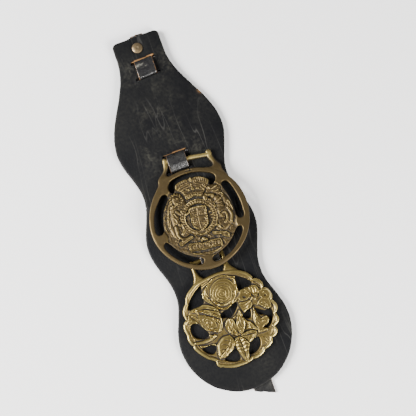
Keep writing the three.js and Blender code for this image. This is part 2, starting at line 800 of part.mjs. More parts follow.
function flowerHanger() {
  const { barY, legX, legRadius, ringInner } = FLOWER;
  const form = { edge: 1.5, crest: HANGER_BAR.thickness, floor: 0 };
  const leg = (side) =>
    chain(
      [
        [side * (legX + 3.6), ringInner - 1.2, legRadius + 1],
        [side * (legX - 1), ringInner + 4.6, legRadius + 0.3],
        [side * legX, barY - 6, legRadius],
        [side * (legX + 0.4), barY + 1.4, legRadius + 0.1],
      ],
      form,
    );
  const bar = limb([-legX, barY, HANGER_BAR.halfWidth], [legX, barY, HANGER_BAR.halfWidth], form);
  const yoke = arcBand({ inner: 33.4, outer: 38, from: 66, to: 114, edge: 2.4, crest: 2.8, stations: 6 });
  return join([leg(-1), leg(1), bar, yoke]);
}

const ON_PLATE = { edge: 1.7 };
const LEAF_ON_PLATE = { edge: 2.2, floor: 1.2 };

// Petals round a centre, each given by its angle in degrees, its reach from the centre and its radius.
function petals([x, y], list, form) {
  return join(
    list.map(([degrees, reach, radius]) => {
      const angle = degrees * DEGREE;
      return boss([x + reach * Math.cos(angle), y + reach * Math.sin(angle)], radius, form);
    }),
  );
}

// The open rose at the top: a ring of outer petals, a high cup and a bud in the middle of it.
function openRose() {
  const centre = [0.4, 21.2];
  const outer = [
    [22, 8.2, 5.6],
    [84, 8, 5.4],
    [150, 9, 6.2],
    [208, 8.8, 5.6],
    [262, 7, 6],
    [322, 7.6, 5.6],
  ];
  return join([
    petals(centre, outer, { ...ON_PLATE, crest: 3.5 }),
    boss(centre, 8.6, { edge: 2.4, crest: 4.6, spokes: 12 }),
    boss(centre, 5, { edge: 4.1, crest: 5 }),
    limb([9.6, 27.2, 2.4], [14, 29.2, 1.2], { ...ON_PLATE, crest: 3 }),
  ]);
}

// The half-open rose on the left: long outer petals laid back to the rim, and a small heart.
function sideRose() {
  const petal = (foot, tip, halfWidth, bend, crest) =>
    leaf({ ...LEAF_ON_PLATE, foot, tip, halfWidth, bend, crest, belly: 0.5, rib: 0.3, stations: 4 });
  return join([
    petal([-33, 14.8], [-7, -6.4], 8.8, 0.8, 3.5),
    petal([-30, 17], [-5.4, 6], 4.6, 2.4, 4),
    petal([-33, 10.4], [-11.6, -7.6], 3.4, -1, 3.7),
    boss([-15.8, 4.6], 5, { edge: 2.4, crest: 4.8, spokes: 9 }),
  ]);
}

// The bud in the middle: pointed petals standing up from one foot.
function middleBud() {
  const petal = (tip, halfWidth, bend, crest) =>
    leaf({ ...LEAF_ON_PLATE, foot: [1, -13], tip, halfWidth, belly: 0.42, bend, crest, rib: 0.4, stations: 4 });
  return join([
    boss([0.8, -6], 7.4, { ...ON_PLATE, crest: 3.8, spokes: 9 }),
    petal([7.6, 4.4], 4.6, -1.4, 4.6),
    petal([-1.6, 1.4], 4.6, 0.4, 4.4),
    petal([-8, -1.4], 3.6, 1.2, 4),
    petal([12.6, -4], 3, -1.4, 3.7),
  ]);
}

// The five-petalled flower on the right, its outer petals run into the rim.
function fivePetals() {
  const centre = [20.6, 9.4];
  const outer = [
    [141, 7.8, 5.6],
    [78, 6.8, 5.4],
    [14, 8.6, 5.6],
    [312, 9.4, 4.8],
    [214, 8, 4.8],
  ];
  return join([
    petals(centre, outer, { ...ON_PLATE, crest: 3.6 }),
    boss(centre, 5, { ...ON_PLATE, crest: 3.2 }),
    boss(centre, 1.8, { edge: 2.8, crest: 4.6, spokes: 6 }),
  ]);
}

// The small flower below it on a short stalk, with a lobe to each side.
function smallFlower() {
  return join([
    chain([[19, 4, 1], [18.2, -4, 1.6], [18.4, -11, 4.6]], { ...ON_PLATE, crest: 3.5 }),
    boss([23, -9.4], 3.8, { ...ON_PLATE, crest: 3.7 }),
  ]);
}

// The leaves that fan out below, and the twig that runs to the rim on the left.
function leaves() {
  const blade = (foot, tip, halfWidth, bend) =>
    leaf({ ...LEAF_ON_PLATE, foot, tip, halfWidth, bend, crest: 4, rib: 0.9, stations: 5 });
  return join([
    blade([-3.6, -12], [-20.4, -24], 6.2, -0.6),
    blade([-0.6, -12.6], [-1.8, -35.4], 5.6, 0),
    blade([3, -12.4], [15, -18.8], 4, -1.2),
    blade([-10, -8.6], [-33, -9.4], 2.6, 0.6),
  ]);
}

function flowerBrass() {
  return join([
    flowerPlate(),
    flowerRing(),
    flowerHanger(),
    openRose(),
    sideRose(),
    middleBud(),
    fivePetals(),
    smallFlower(),
    leaves(),
  ]);
}

// ---------------------------------------------------------------------------------------------------------
// The whole: each brass in a group that lays it on the leather, tilted where it rests on the other.

const whole = new THREE.Group();

function addPiece(parent, name, solid, { color, roughness, metalness }) {
  const finish = new THREE.MeshStandardMaterial({ color, roughness, metalness });
  const mesh = new THREE.Mesh(geometryOf(solid), finish);
  mesh.name = name;
  parent.add(mesh);
}

// A group turned on the leather and tilted about its hanger bar, whose back stays at the given height.
function laid({ at, barY, turn, tilt = 0 }, barHeight) {
  const group = new THREE.Group();
  group.rotation.order = "ZXY";
  group.rotation.set(-tilt * DEGREE, 0, turn * DEGREE);
  group.position.set(at[0], at[1], barHeight + barY * Math.sin(tilt * DEGREE));
  whole.add(group);
  return group;
}

addPiece(whole, "leather_backing", backing(), { color: 0x2a2a2d, roughness: 0.75, metalness: 0 });
addPiece(whole, "threaded_strap", strap(), { color: 0x141416, roughness: 0.4, metalness: 0 });
addPiece(whole, "rivet", rivet(), { color: 0xb3945c, roughness: 0.4, metalness: 1 });
addPiece(laid(CREST, BACKING_HIGH + 0.5), "crest_brass", crestBrass(), {
  color: 0x8c703c,
  roughness: 0.42,
  metalness: 1,
});
addPiece(laid(FLOWER, BACKING_HIGH + GAP), "flower_brass", flowerBrass(), {
  color: 0xb7963f,
  roughness: 0.32,
  metalness: 1,
});

export default whole;
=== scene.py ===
"""Two cast horse brasses on a black leather drop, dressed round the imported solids."""
import math

import bpy
import numpy as np
from mathutils import Matrix, Vector
from mathutils.geometry import delaunay_2d_cdt


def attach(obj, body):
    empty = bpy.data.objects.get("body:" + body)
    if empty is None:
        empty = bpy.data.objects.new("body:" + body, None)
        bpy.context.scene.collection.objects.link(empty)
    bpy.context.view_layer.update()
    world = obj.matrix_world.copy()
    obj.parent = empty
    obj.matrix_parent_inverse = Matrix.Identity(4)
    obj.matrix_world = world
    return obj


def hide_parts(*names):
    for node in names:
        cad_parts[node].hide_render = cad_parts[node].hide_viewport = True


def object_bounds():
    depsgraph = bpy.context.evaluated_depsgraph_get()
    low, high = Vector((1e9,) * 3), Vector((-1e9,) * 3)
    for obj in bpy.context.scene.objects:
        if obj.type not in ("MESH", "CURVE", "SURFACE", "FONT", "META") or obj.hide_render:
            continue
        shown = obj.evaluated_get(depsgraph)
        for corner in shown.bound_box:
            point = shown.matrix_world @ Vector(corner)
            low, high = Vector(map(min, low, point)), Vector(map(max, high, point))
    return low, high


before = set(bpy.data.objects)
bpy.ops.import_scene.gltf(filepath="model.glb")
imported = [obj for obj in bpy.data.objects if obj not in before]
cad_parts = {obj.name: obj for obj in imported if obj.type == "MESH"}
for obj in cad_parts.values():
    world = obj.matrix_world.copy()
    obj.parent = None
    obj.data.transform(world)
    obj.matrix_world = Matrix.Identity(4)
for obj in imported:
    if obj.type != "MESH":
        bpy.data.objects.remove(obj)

solid_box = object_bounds()
MM = 0.001

# ======================================================================================================
# Table, lights and camera
# The drop lies face up on white paper. Two broad soft lights stand low at its left and at its lower right,
# under a dim even sky, and the camera looks down on it from a little below its lower end.

LEAN = math.radians(18.74)
PICTURE_RIGHT = Vector((math.cos(LEAN), -math.sin(LEAN), 0))
PICTURE_UP = Vector((math.sin(LEAN), math.cos(LEAN), 0))
CAMERA_DISTANCE = 0.55
CAMERA_RISE = math.radians(83.4)
PICTURE_WIDTH = 0.3401
LOOK_AT = PICTURE_RIGHT * 0.01224 - PICTURE_UP * 0.00019 + Vector((0, 0, 0.004))


def aim(thing, place, target, up):
    """Puts a camera or light at a place, looking at the target, with its top turned towards up."""
    back = (place - target).normalized()
    right = up.cross(back).normalized()
    turned = Matrix((right, back.cross(right), back)).transposed().to_4x4()
    thing.matrix_world = Matrix.Translation(place) @ turned


def add_camera():
    data = bpy.data.cameras.new("camera")
    data.sensor_width = 36
    data.lens = data.sensor_width * CAMERA_DISTANCE / PICTURE_WIDTH
    data.clip_start, data.clip_end = 0.01, 50
    camera = bpy.data.objects.new("camera", data)
    bpy.context.collection.objects.link(camera)
    sightline = Vector((0, 0, math.sin(CAMERA_RISE))) - PICTURE_UP * math.cos(CAMERA_RISE)
    aim(camera, LOOK_AT + sightline * CAMERA_DISTANCE, LOOK_AT, PICTURE_UP)
    bpy.context.scene.camera = camera


def add_softbox(name, right, up, height, width, length, power, tint):
    data = bpy.data.lights.new(name, "AREA")
    data.shape = "RECTANGLE"
    data.size, data.size_y = width, length
    data.energy = power
    data.color = tint
    light = bpy.data.objects.new(name, data)
    bpy.context.collection.objects.link(light)
    place = PICTURE_RIGHT * right + PICTURE_UP * up + Vector((0, 0, height))
    aim(light, place, Vector((0, 0, 0)), Vector((0, 1, 0.01)))


def add_table():
    bpy.ops.mesh.primitive_plane_add(size=6, location=(0, 0, solid_box[0].z - 0.0002))
    paper = bpy.context.object
    paper.name = "paper"
    material = bpy.data.materials.new("white_paper")
    material.use_nodes = True
    shader = material.node_tree.nodes["Principled BSDF"]
    shader.inputs["Base Color"].default_value = (0.88, 0.88, 0.89, 1)
    shader.inputs["Roughness"].default_value = 0.9
    shader.inputs["Specular IOR Level"].default_value = 0.2
    paper.data.materials.append(material)


def set_sky(strength):
    world = bpy.context.scene.world or bpy.data.worlds.new("sky")
    bpy.context.scene.world = world
    world.use_nodes = True
    background = world.node_tree.nodes["Background"]
    background.inputs["Color"].default_value = (0.97, 0.98, 1, 1)
    background.inputs["Strength"].default_value = strength


add_camera()
add_table()
set_sky(0.3)
add_softbox("window_light", -1.56, -0.25, 1.2, 1.0, 1.0, 150, (1, 0.99, 0.97))
add_softbox("fill_light", 1.2, -1.0, 0.9, 0.8, 0.8, 75, (1, 0.98, 0.95))

# ======================================================================================================
# Leather backing
# One flat drop cut from thick black bridle leather, three lobes wide with a narrow neck, its edges rubbed
# round. Three pairs of slits were cut with a knife between punched holes, and show tan raw leather.

BACK_LOW = 2.1
BACK_HIGH = 5.6
LOOP_PITCH = 83
LOOPS = ((124, 4.2), (39.8, 2), (-42.5, 3.3))
SLIT_OFFSET = 7
SLIT_HALF_LENGTH = 9.6
SLIT_HALF_HEIGHT = 1.25
SLIT_END_RADIUS = 1.5
RIVET_X, RIVET_Y = -1.4, 142.5


def grid(low, high, spacing):
    """Points of a square grid over a rectangle, as two arrays of x and y."""
    count = [int(round((b - a) / spacing)) + 1 for a, b in zip(low, high)]
    return np.meshgrid(np.linspace(low[0], high[0], count[0]), np.linspace(low[1], high[1], count[1]))


def polygon_depth(x, y, points):
    """How far each point lies inside a closed polygon, negative outside it."""
    nearest = np.full(x.shape, 1e9)
    inside = np.zeros(x.shape, bool)
    for (ax, ay), (bx, by) in zip(points, points[1:] + points[:1]):
        ex, ey = bx - ax, by - ay
        along = np.clip(((x - ax) * ex + (y - ay) * ey) / max(ex * ex + ey * ey, 1e-12), 0, 1)
        nearest = np.minimum(nearest, np.hypot(x - ax - along * ex, y - ay - along * ey))
        crosses = (ay > y) != (by > y)
        inside ^= crosses & (x < ax + (y - ay) / (ey if ey else 1e-12) * ex)
    return np.where(inside, nearest, -nearest)


def soft_noise(x, y, size, seed):
    """Smooth noise between -1 and 1 whose lumps are about size across."""
    lattice = np.random.default_rng(seed).uniform(-1, 1, (64, 64))
    u, v = x / size + 17.3, y / size + 31.7
    i, j = np.floor(u).astype(int), np.floor(v).astype(int)
    f, g = u - i, v - j
    f, g = f * f * (3 - 2 * f), g * g * (3 - 2 * g)
    at = lambda a, b: lattice[(j + b) % 64, (i + a) % 64]
    low = at(0, 0) * (1 - f) + at(1, 0) * f
    high = at(0, 1) * (1 - f) + at(1, 1) * f
    return low * (1 - g) + high * g


def smoothstep(t):
    t = np.clip(t, 0, 1)
    return t * t * (3 - 2 * t)


def cut_sheet(depth, spacing):
    """Cuts a grid along depth = 0. Gives the pairs of grid points that each new point lies between, the
    share of the way between them, the triangles, and the rim's edges with the inside on their left."""
    rows, columns = depth.shape
    least = 0.08 * spacing
    flat = depth.ravel()
    flat = np.where(np.abs(flat) < least, np.where(flat > 0, least, -least), flat)
    index = np.arange(rows * columns).reshape(rows, columns)
    a, b = index[:-1, :-1].ravel(), index[:-1, 1:].ravel()
    c, d = index[1:, 1:].ravel(), index[1:, :-1].ravel()
    triangles = np.concatenate([np.stack([a, b, c], 1), np.stack([a, c, d], 1)])
    inside = flat > 0
    kept = inside[triangles]
    count = kept.sum(1)

    def odd_one_first(chosen, wanted):
        turn = np.argmax(kept[chosen] == wanted, 1)
        order = (turn[:, None] + np.arange(3)) % 3
        return np.take_along_axis(triangles[chosen], order, 1)

    one = odd_one_first(count == 1, True)
    two = odd_one_first(count == 2, False)
    crossings = np.concatenate([one[:, [0, 1]], one[:, [0, 2]], two[:, [0, 1]], two[:, [0, 2]]])
    pairs, where = np.unique(np.sort(crossings, 1), axis=0, return_inverse=True)
    where = where.ravel()
    share = flat[pairs[:, 0]] / (flat[pairs[:, 0]] - flat[pairs[:, 1]])
    used = np.flatnonzero(inside)
    number = np.zeros(flat.size, int)
    number[used] = np.arange(used.size)
    new = used.size + where
    n1, n2 = len(one), len(two)
    one_b, one_c = new[:n1], new[n1 : 2 * n1]
    two_b, two_c = new[2 * n1 : 2 * n1 + n2], new[2 * n1 + n2 :]
    faces = np.concatenate(
        [
            number[triangles[count == 3]],
            np.stack([number[one[:, 0]], one_b, one_c], 1),
            np.stack([two_b, number[two[:, 1]], number[two[:, 2]]], 1),
            np.stack([two_b, number[two[:, 2]], two_c], 1),
        ]
    )
    rim = np.concatenate([np.stack([one_b, one_c], 1), np.stack([two_c, two_b], 1)])
    ends = np.concatenate([np.stack([used, used], 1), pairs])
    return ends, np.concatenate([np.zeros(used.size), share]), faces, rim


def plate_mesh(name, x, y, depth, front, back, marks=None):
    """A closed mesh of a flat piece: front and back heights wherever depth is above zero, in millimetres.
    Each mark becomes a named value at every point, for the material."""
    spacing = x[0, 1] - x[0, 0]
    ends, share, faces, rim = cut_sheet(depth, spacing)
    used, rim_used = np.unique(faces), rim
    number = np.zeros(len(ends), int)
    number[used] = np.arange(used.size)
    ends, share, faces, rim_used = ends[used], share[used], number[faces], number[rim_used]

    def sampled(values):
        flat = values.ravel()
        return flat[ends[:, 0]] * (1 - share) + flat[ends[:, 1]] * share

    px, py = sampled(x), sampled(y)
    top = np.stack([px, py, sampled(front)], 1)
    bottom = np.stack([px, py, sampled(back)], 1)
    n = len(px)
    start, finish = rim_used[:, 0], rim_used[:, 1]
    walls = np.concatenate(
        [np.stack([start + n, finish + n, finish], 1), np.stack([start + n, finish, start], 1)]
    )
    mesh = mesh_of(name, np.concatenate([top, bottom]) * MM, np.concatenate([faces, faces[:, ::-1] + n, walls]))
    for mark, values in (marks or {}).items():
        one_side = sampled(values)
        attribute = mesh.attributes.new(mark, "FLOAT", "POINT")
        attribute.data.foreach_set("value", np.concatenate([one_side, one_side]).astype(np.float32))
    return mesh


def mesh_of(name, points, triangles):
    mesh = bpy.data.meshes.new(name)
    mesh.vertices.add(len(points))
    mesh.vertices.foreach_set("co", np.asarray(points, np.float32).ravel())
    mesh.loops.add(triangles.size)
    mesh.loops.foreach_set("vertex_index", triangles.ravel().astype(np.int32))
    mesh.polygons.add(len(triangles))
    mesh.polygons.foreach_set("loop_start", np.arange(0, triangles.size, 3, dtype=np.int32))
    mesh.update(calc_edges=True)
    mesh.validate()
    return mesh


def show(name, mesh, material, sharp=50):
    """Links a mesh as a piece, shaded smooth apart from edges sharper than an angle in degrees."""
    piece = bpy.data.objects.new(name, mesh)
    bpy.context.collection.objects.link(piece)
    if material and not mesh.materials:
        mesh.materials.append(material)
    mesh.polygons.foreach_set("use_smooth", np.ones(len(mesh.polygons), bool))
    mesh.set_sharp_from_angle(angle=math.radians(sharp))
    return piece


def backing_outline():
    top, neck_half, neck_run, first_lobe = 153, 20.5, 75, 61
    mid_half, swing, end_run, corner = 41, 4.9, 47.5, 4
    widest, last_lobe = mid_half + swing, first_lobe - 2 * LOOP_PITCH
    right = []
    for angle in np.linspace(-math.pi / 2, 0, 30, endpoint=False):
        right.append((widest * math.cos(angle), last_lobe + end_run * math.sin(angle)))
    for turns in np.linspace(0, 2, 100, endpoint=False):
        right.append((mid_half + swing * math.cos(2 * math.pi * turns), last_lobe + LOOP_PITCH * turns))
    for t in np.linspace(0, 1, 30):
        fall = (1 + math.cos(math.pi * t)) / 2
        right.append((neck_half + (widest - neck_half) * fall, first_lobe + neck_run * t))
    for angle in np.linspace(0, math.pi / 2, 8):
        edge = neck_half - corner + corner * math.cos(angle)
        right.append((edge, top - corner + corner * math.sin(angle)))
    both = right + [(-px, py) for px, py in right[:0:-1]]
    lean = lambda py: 0.8 * float(smoothstep((py - first_lobe) / neck_run))
    return [(px - lean(py), py + 0.9 * px / neck_half * (py > top - 2 * corner)) for px, py in both]


def slit_distance(x, y):
    """Distance outside the nearest slit or punched end hole."""
    nearest = np.full(x.shape, 1e9)
    for loop_y, turn in LOOPS:
        slope = math.radians(turn)
        for side in (1, -1):
            cx, cy = x, y - loop_y - side * SLIT_OFFSET / math.cos(slope)
            u = cx * math.cos(slope) + cy * math.sin(slope)
            v = -cx * math.sin(slope) + cy * math.cos(slope)
            over = np.abs(u) - SLIT_HALF_LENGTH
            slot = np.hypot(np.maximum(over, 0), np.maximum(np.abs(v) - SLIT_HALF_HEIGHT, 0))
            slot = np.where((over < 0) & (np.abs(v) < SLIT_HALF_HEIGHT), np.abs(v) - SLIT_HALF_HEIGHT, slot)
            holes = np.hypot(over, v) - SLIT_END_RADIUS
            nearest = np.minimum(nearest, np.minimum(slot, holes))
    return nearest


def slit_wall(x, y):
    """Where the pale cut edge shows: just above the upper slit of each of the first two loops."""
    shown = np.zeros(x.shape)
    for (loop_y, turn), amount, wide in zip(LOOPS[:2], (1.0, 0.7), (0.75, 0.45)):
        slope = math.radians(turn)
        cx, cy = x, y - loop_y - SLIT_OFFSET / math.cos(slope)
        u = cx * math.cos(slope) + cy * math.sin(slope)
        v = -cx * math.sin(slope) + cy * math.cos(slope) - SLIT_HALF_HEIGHT
        ends = smoothstep((SLIT_HALF_LENGTH + 0.6 - np.abs(u)) / 1.2)
        shown = np.maximum(shown, amount * ends * (np.abs(v - 0.1) < wide) * (0.75 + 0.25 * soft_noise(x, y, 1.6, 8)))
    return shown


def new_group(name, inputs, outputs):
    """An empty shader node group with named sockets. Colours have 4 values, and the rest are floats."""
    group = bpy.data.node_groups.new(name, "ShaderNodeTree")
    for socket, value in inputs.items():
        colour = isinstance(value, tuple)
        kind = "NodeSocketColor" if colour else "NodeSocketFloat"
        made = group.interface.new_socket(name=socket, in_out="INPUT", socket_type=kind)
        made.default_value = (*value, 1) if colour else value
    for socket, kind in outputs.items():
        group.interface.new_socket(name=socket, in_out="OUTPUT", socket_type=kind)
    return group, group.nodes.new("NodeGroupInput"), group.nodes.new("NodeGroupOutput")


class Graph:
    """Short names for the nodes that the finishes are built from, in one node tree."""

    def __init__(self, tree):
        self.tree = tree

    def node(self, kind, wires=None, **settings):
        made = self.tree.nodes.new(kind)
        for key, value in settings.items():
            setattr(made, key, value)
        for socket, value in (wires or {}).items():
            self.feed(made.inputs[socket], value)
        return made

    def feed(self, socket, value):
        if isinstance(value, bpy.types.NodeSocket):
            self.tree.links.new(value, socket)
        elif isinstance(value, tuple) and socket.type == "RGBA":
            socket.default_value = (*value, 1)
        else:
            socket.default_value = value

    def math(self, operation, first, second=0.5, clamp=False):
        made = self.node("ShaderNodeMath", {0: first, 1: second}, operation=operation, use_clamp=clamp)
        return made.outputs[0]

    def mix(self, share, first, second):
        made = self.node("ShaderNodeMix", data_type="RGBA", clamp_factor=True)
        self.feed(made.inputs["Factor"], share)
        self.feed(made.inputs[6], first)
        self.feed(made.inputs[7], second)
        return made.outputs[2]

    def spread(self, value, low, high, to_low=0.0, to_high=1.0):
        wires = {"Value": value, "From Min": low, "From Max": high, "To Min": to_low, "To Max": to_high}
        return self.node("ShaderNodeMapRange", wires, clamp=True).outputs[0]

    def noise(self, scale, detail=3.0, roughness=0.5, distortion=0.0, at=None):
        wires = {"Scale": scale, "Detail": detail, "Roughness": roughness, "Distortion": distortion}
        if at is None:
            at = self.node("ShaderNodeTexCoord").outputs["Object"]
        return self.node("ShaderNodeTexNoise", {"Vector": at, **wires}).outputs[0]

    def cells(self, scale, at=None, **settings):
        if at is None:
            at = self.node("ShaderNodeTexCoord").outputs["Object"]
        return self.node("ShaderNodeTexVoronoi", {"Vector": at, "Scale": scale}, **settings).outputs[0]

    def mark(self, name):
        return self.node("ShaderNodeAttribute", attribute_name=name).outputs["Fac"]

    def bump(self, height, strength, distance):
        wires = {"Strength": strength, "Distance": distance, "Height": height}
        return self.node("ShaderNodeBump", wires).outputs[0]


def material_graph(name):
    material = bpy.data.materials.new(name)
    material.use_nodes = True
    graph = Graph(material.node_tree)
    return material, graph, material.node_tree.nodes["Principled BSDF"]


def leather_group():
    """Grain, pale patches (rubbed wear, and painted reflections where marked) and scratches of dyed leather, with tan
    showing where it is cut or worn.
    """
    inputs = {
        "Dye": (0.02, 0.02, 0.022),
        "Scuff And Sheen": (0.1, 0.1, 0.085),
        "Raw": (0.32, 0.17, 0.07),
        "Grain Scale": 900.0,
        "Scuffing And Sheen": 0.0,
        "Cut": 0.0,
        "Polish": 0.3,
    }
    outputs = {"Color": "NodeSocketColor", "Roughness": "NodeSocketFloat", "Height": "NodeSocketFloat"}
    group, given, result = new_group("dyed_leather", inputs, outputs)
    g = Graph(group)
    value = given.outputs
    clouds = g.noise(28.0, 5.0, 0.6)
    speckle = g.noise(420.0, 3.0, 0.6)
    patches = g.spread(g.noise(75.0, 6.0, 0.65, 0.6), 0.47, 0.7)
    broken = g.math("MULTIPLY", patches, g.spread(speckle, 0.35, 0.65))
    # Pale patches: rubbed wear, and where the mark says so painted reflections as well.
    scuffs_and_sheen = g.math("MULTIPLY", broken, value["Scuffing And Sheen"], True)
    faint = g.math("MULTIPLY", g.spread(clouds, 0.35, 0.75), 0.16)
    wear_and_highlight = g.math("ADD", scuffs_and_sheen, g.math("MULTIPLY", faint, g.spread(speckle, 0.3, 0.7)), True)
    colour = g.mix(wear_and_highlight, value["Dye"], value["Scuff And Sheen"])
    colour = g.mix(value["Cut"], colour, value["Raw"])
    g.feed(result.inputs["Color"], colour)
    base = g.math("SUBTRACT", 0.72, g.math("MULTIPLY", value["Polish"], 0.6))
    rough = g.math("ADD", base, g.spread(clouds, 0.3, 0.7, -0.06, 0.06))
    rough = g.math("ADD", rough, g.math("MULTIPLY", scuffs_and_sheen, 0.15), True)
    g.feed(result.inputs["Roughness"], rough)
    pores = g.cells(value["Grain Scale"], feature="F1")
    fine = g.noise(g.math("MULTIPLY", value["Grain Scale"], 2.2), 2.0)
    height = g.math("ADD", g.math("MULTIPLY", pores, 0.6), g.math("MULTIPLY", fine, 0.4))
    g.feed(result.inputs["Height"], height)
    return group


def scratch_mask(g, scale, stretch, seed):
    """Thin broken lines: noise pulled out along one direction and cut to a narrow band."""
    at = g.node("ShaderNodeTexCoord").outputs["Object"]
    turned = g.node("ShaderNodeMapping", {"Vector": at, "Rotation": (0, 0, seed), "Scale": (1, stretch, 1)})
    lines = g.noise(scale, 2.0, 0.5, 0.3, turned.outputs[0])
    near = g.math("ABSOLUTE", g.math("SUBTRACT", lines, 0.5))
    return g.spread(near, 0.0, 0.008, 1.0, 0.0)


LEATHER = leather_group()


def backing_material():
    material, g, shader = material_graph("backing_leather")
    leather = g.node("ShaderNodeGroup", node_tree=LEATHER)
    g.feed(leather.inputs["Dye"], (0.0024, 0.0026, 0.0034))
    g.feed(leather.inputs["Scuff And Sheen"], (0.06, 0.058, 0.045))
    g.feed(leather.inputs["Scuffing And Sheen"], g.mark("scuffs_and_sheen"))
    g.feed(leather.inputs["Cut"], g.mark("raw"))
    g.feed(leather.inputs["Polish"], 0.25)
    g.feed(leather.inputs["Grain Scale"], 700.0)
    scratches = g.math("ADD", scratch_mask(g, 60.0, 0.12, 0.5), scratch_mask(g, 50.0, 0.1, 2.2), True)
    thinned = g.math("MULTIPLY", scratches, g.spread(g.noise(20.0), 0.45, 0.65))
    colour = g.mix(g.math("MULTIPLY", thinned, 0.35), leather.outputs["Color"], (0.09, 0.088, 0.08))
    g.feed(shader.inputs["Base Color"], colour)
    g.feed(shader.inputs["Roughness"], leather.outputs["Roughness"])
    shader.inputs["Specular IOR Level"].default_value = 0.12
    dents = g.math("MULTIPLY", g.noise(90.0, 4.0, 0.6), 0.8)
    height = g.math("ADD", leather.outputs["Height"], dents)
    height = g.math("SUBTRACT", height, g.math("MULTIPLY", thinned, 0.4))
    g.feed(shader.inputs["Normal"], g.bump(height, 0.55, 0.00025))
    return material


def backing():
    x, y = grid((-47, -154), (47, 155), 0.8)
    outline = backing_outline()
    rim = polygon_depth(x, y, outline)
    rim = rim - 0.12 + 0.14 * soft_noise(x, y, 4, 1) * (np.abs(rim) < 3)
    for nick_x, nick_y, size in ((37.6, 92.0, 1.0), (39.6, 18.6, 0.8), (-36.8, 12.0, 0.6)):
        rim = np.minimum(rim, np.hypot(x - nick_x, y - nick_y) - size)
    slit = slit_distance(x, y)
    rivet_hole = np.hypot(x - RIVET_X, y - RIVET_Y) - 1.9
    depth = np.minimum(np.minimum(rim, slit), rivet_hole)
    sag = -1.1 * (x / 46) ** 2 - 0.7 * smoothstep((-y - 120) / 35) - 0.4 * smoothstep((y - 140) / 14)
    swell = 0.07 * soft_noise(x, y, 24, 2) + 0.03 * soft_noise(x, y, 7, 3)
    round_edge = 0.9
    inset = np.clip(rim, 0, round_edge) / round_edge
    rounding = round_edge * (1 - np.sqrt(1 - (1 - inset) ** 2))
    lip = 0.3 * np.exp(-((np.maximum(slit, 0) / 1.3) ** 2))
    dish = -0.35 * np.exp(-((np.hypot(x - RIVET_X, y - RIVET_Y) / 6.5) ** 4))
    front = BACK_HIGH - 0.08 + sag + swell - rounding + lip + dish
    back = BACK_LOW + sag + 0.6 * rounding
    scuffs_and_sheen = np.zeros(x.shape)
    for px, py, wide, tall, amount in (
        (-15, 122, 7, 9, 1.0),
        (15, 124, 7, 10, 1.0),
        (0, 110, 14, 7, 0.4),
        (-14, 56, 11, 12, 0.9),
        (8, 55, 16, 8, 0.5),
        (-25, 40, 9, 12, 0.45),
        (20, 48, 9, 9, 0.5),
        (0, 80, 26, 24, 0.3),
    ):
        blot = np.exp(-(((x - px) / wide) ** 2 + ((y - py) / tall) ** 2))
        scuffs_and_sheen = np.maximum(scuffs_and_sheen, amount * blot)
    scuffs_and_sheen = np.maximum(scuffs_and_sheen, 0.35 * np.exp(-((rim / 1.2) ** 2)))
    upper_wall = slit_wall(x, y)
    nicked = np.exp(-((np.hypot(x - 37.6, y - 92.0) / 1.9) ** 2))
    raw = np.clip(upper_wall + nicked, 0, 1)
    mesh = plate_mesh("leather_backing_skin", x, y, depth, front, back, {"scuffs_and_sheen": scuffs_and_sheen, "raw": raw})
    piece = show("leather_drop", mesh, backing_material())
    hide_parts("leather_backing")
    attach(piece, "root")


backing()

# ======================================================================================================
# Threaded strap
# One long strip of thinner, glossy black leather. It is riveted behind the top, comes up through each pair
# of slits as a loop, and has torn off short above the rivet. Its tail runs out on a slant below.

STRAP_WIDTH, STRAP_THICKNESS = 15.8, 1.66
STRAP_BEHIND = 0.9
STRAP_SHOULDER = 6.8
LOOP_CRESTS = ((0, 8.3, 2.2), (1.3, 9.9, 3), (0, 9.9, 3))
TORN_Y, TAIL_Y = 156.4, -162


def strap_path():
    """The strap's middle line from its torn end to its tail, with rounded bends, as y and z."""
    corners = [(TORN_Y, STRAP_BEHIND, 0)]
    for (y, _), (shift, crest, flat) in zip(LOOPS, LOOP_CRESTS):
        corners += [(y + SLIT_OFFSET, STRAP_BEHIND, 1.5), (y + SLIT_OFFSET, STRAP_SHOULDER - 0.05, 1.5)]
        corners += [(y + shift + flat, crest, 2.4), (y + shift - flat, crest, 2.4)]
        corners += [(y - SLIT_OFFSET, STRAP_SHOULDER - 0.05, 1.5), (y - SLIT_OFFSET, STRAP_BEHIND, 1.5)]
    corners.append((TAIL_Y, STRAP_BEHIND, 0))
    points = [np.array(corners[0][:2])]
    for before, (y, z, radius), after in zip(corners, corners[1:], corners[2:]):
        here = np.array((y, z))
        back, on = np.array(before[:2]) - here, np.array(after[:2]) - here
        half = math.acos(back @ on / np.hypot(*back) / np.hypot(*on)) / 2
        reach = min(radius / math.tan(half), 0.48 * np.hypot(*back), 0.48 * np.hypot(*on))
        start, finish = here + back / np.hypot(*back) * reach, here + on / np.hypot(*on) * reach
        for t in np.linspace(0, 1, 7):
            points.append((1 - t) ** 2 * start + 2 * t * (1 - t) * here + t * t * finish)
    points.append(np.array(corners[-1][:2]))
    return points


def strap_drift(y):
    return 7.6 * smoothstep((y + 60) / -90)


def strap_slew(y):
    near = lambda at: 1 - smoothstep((np.abs(y - at) - 9) / 8.4)
    return sum(math.tan(math.radians(turn)) * near(at) for at, turn in LOOPS)


def torn_edge(x):
    teeth = 0.8 * soft_noise(x, 0 * x, 0.9, 11) + 0.5 * soft_noise(x, 0 * x, 0.35, 12)
    step = np.where((x > -4.6) & (x < 6.4), 155.4, 151.2)
    return step + np.where(step > 153, teeth, 0.4 * teeth)


def tail_edge(x):
    slant = -155 - 6 * ((x - 7.6) / 16 + 0.5)
    return slant + 0.35 * np.sin(x * 1.1) + 0.15 * soft_noise(x, 0 * x, 0.8, 13)


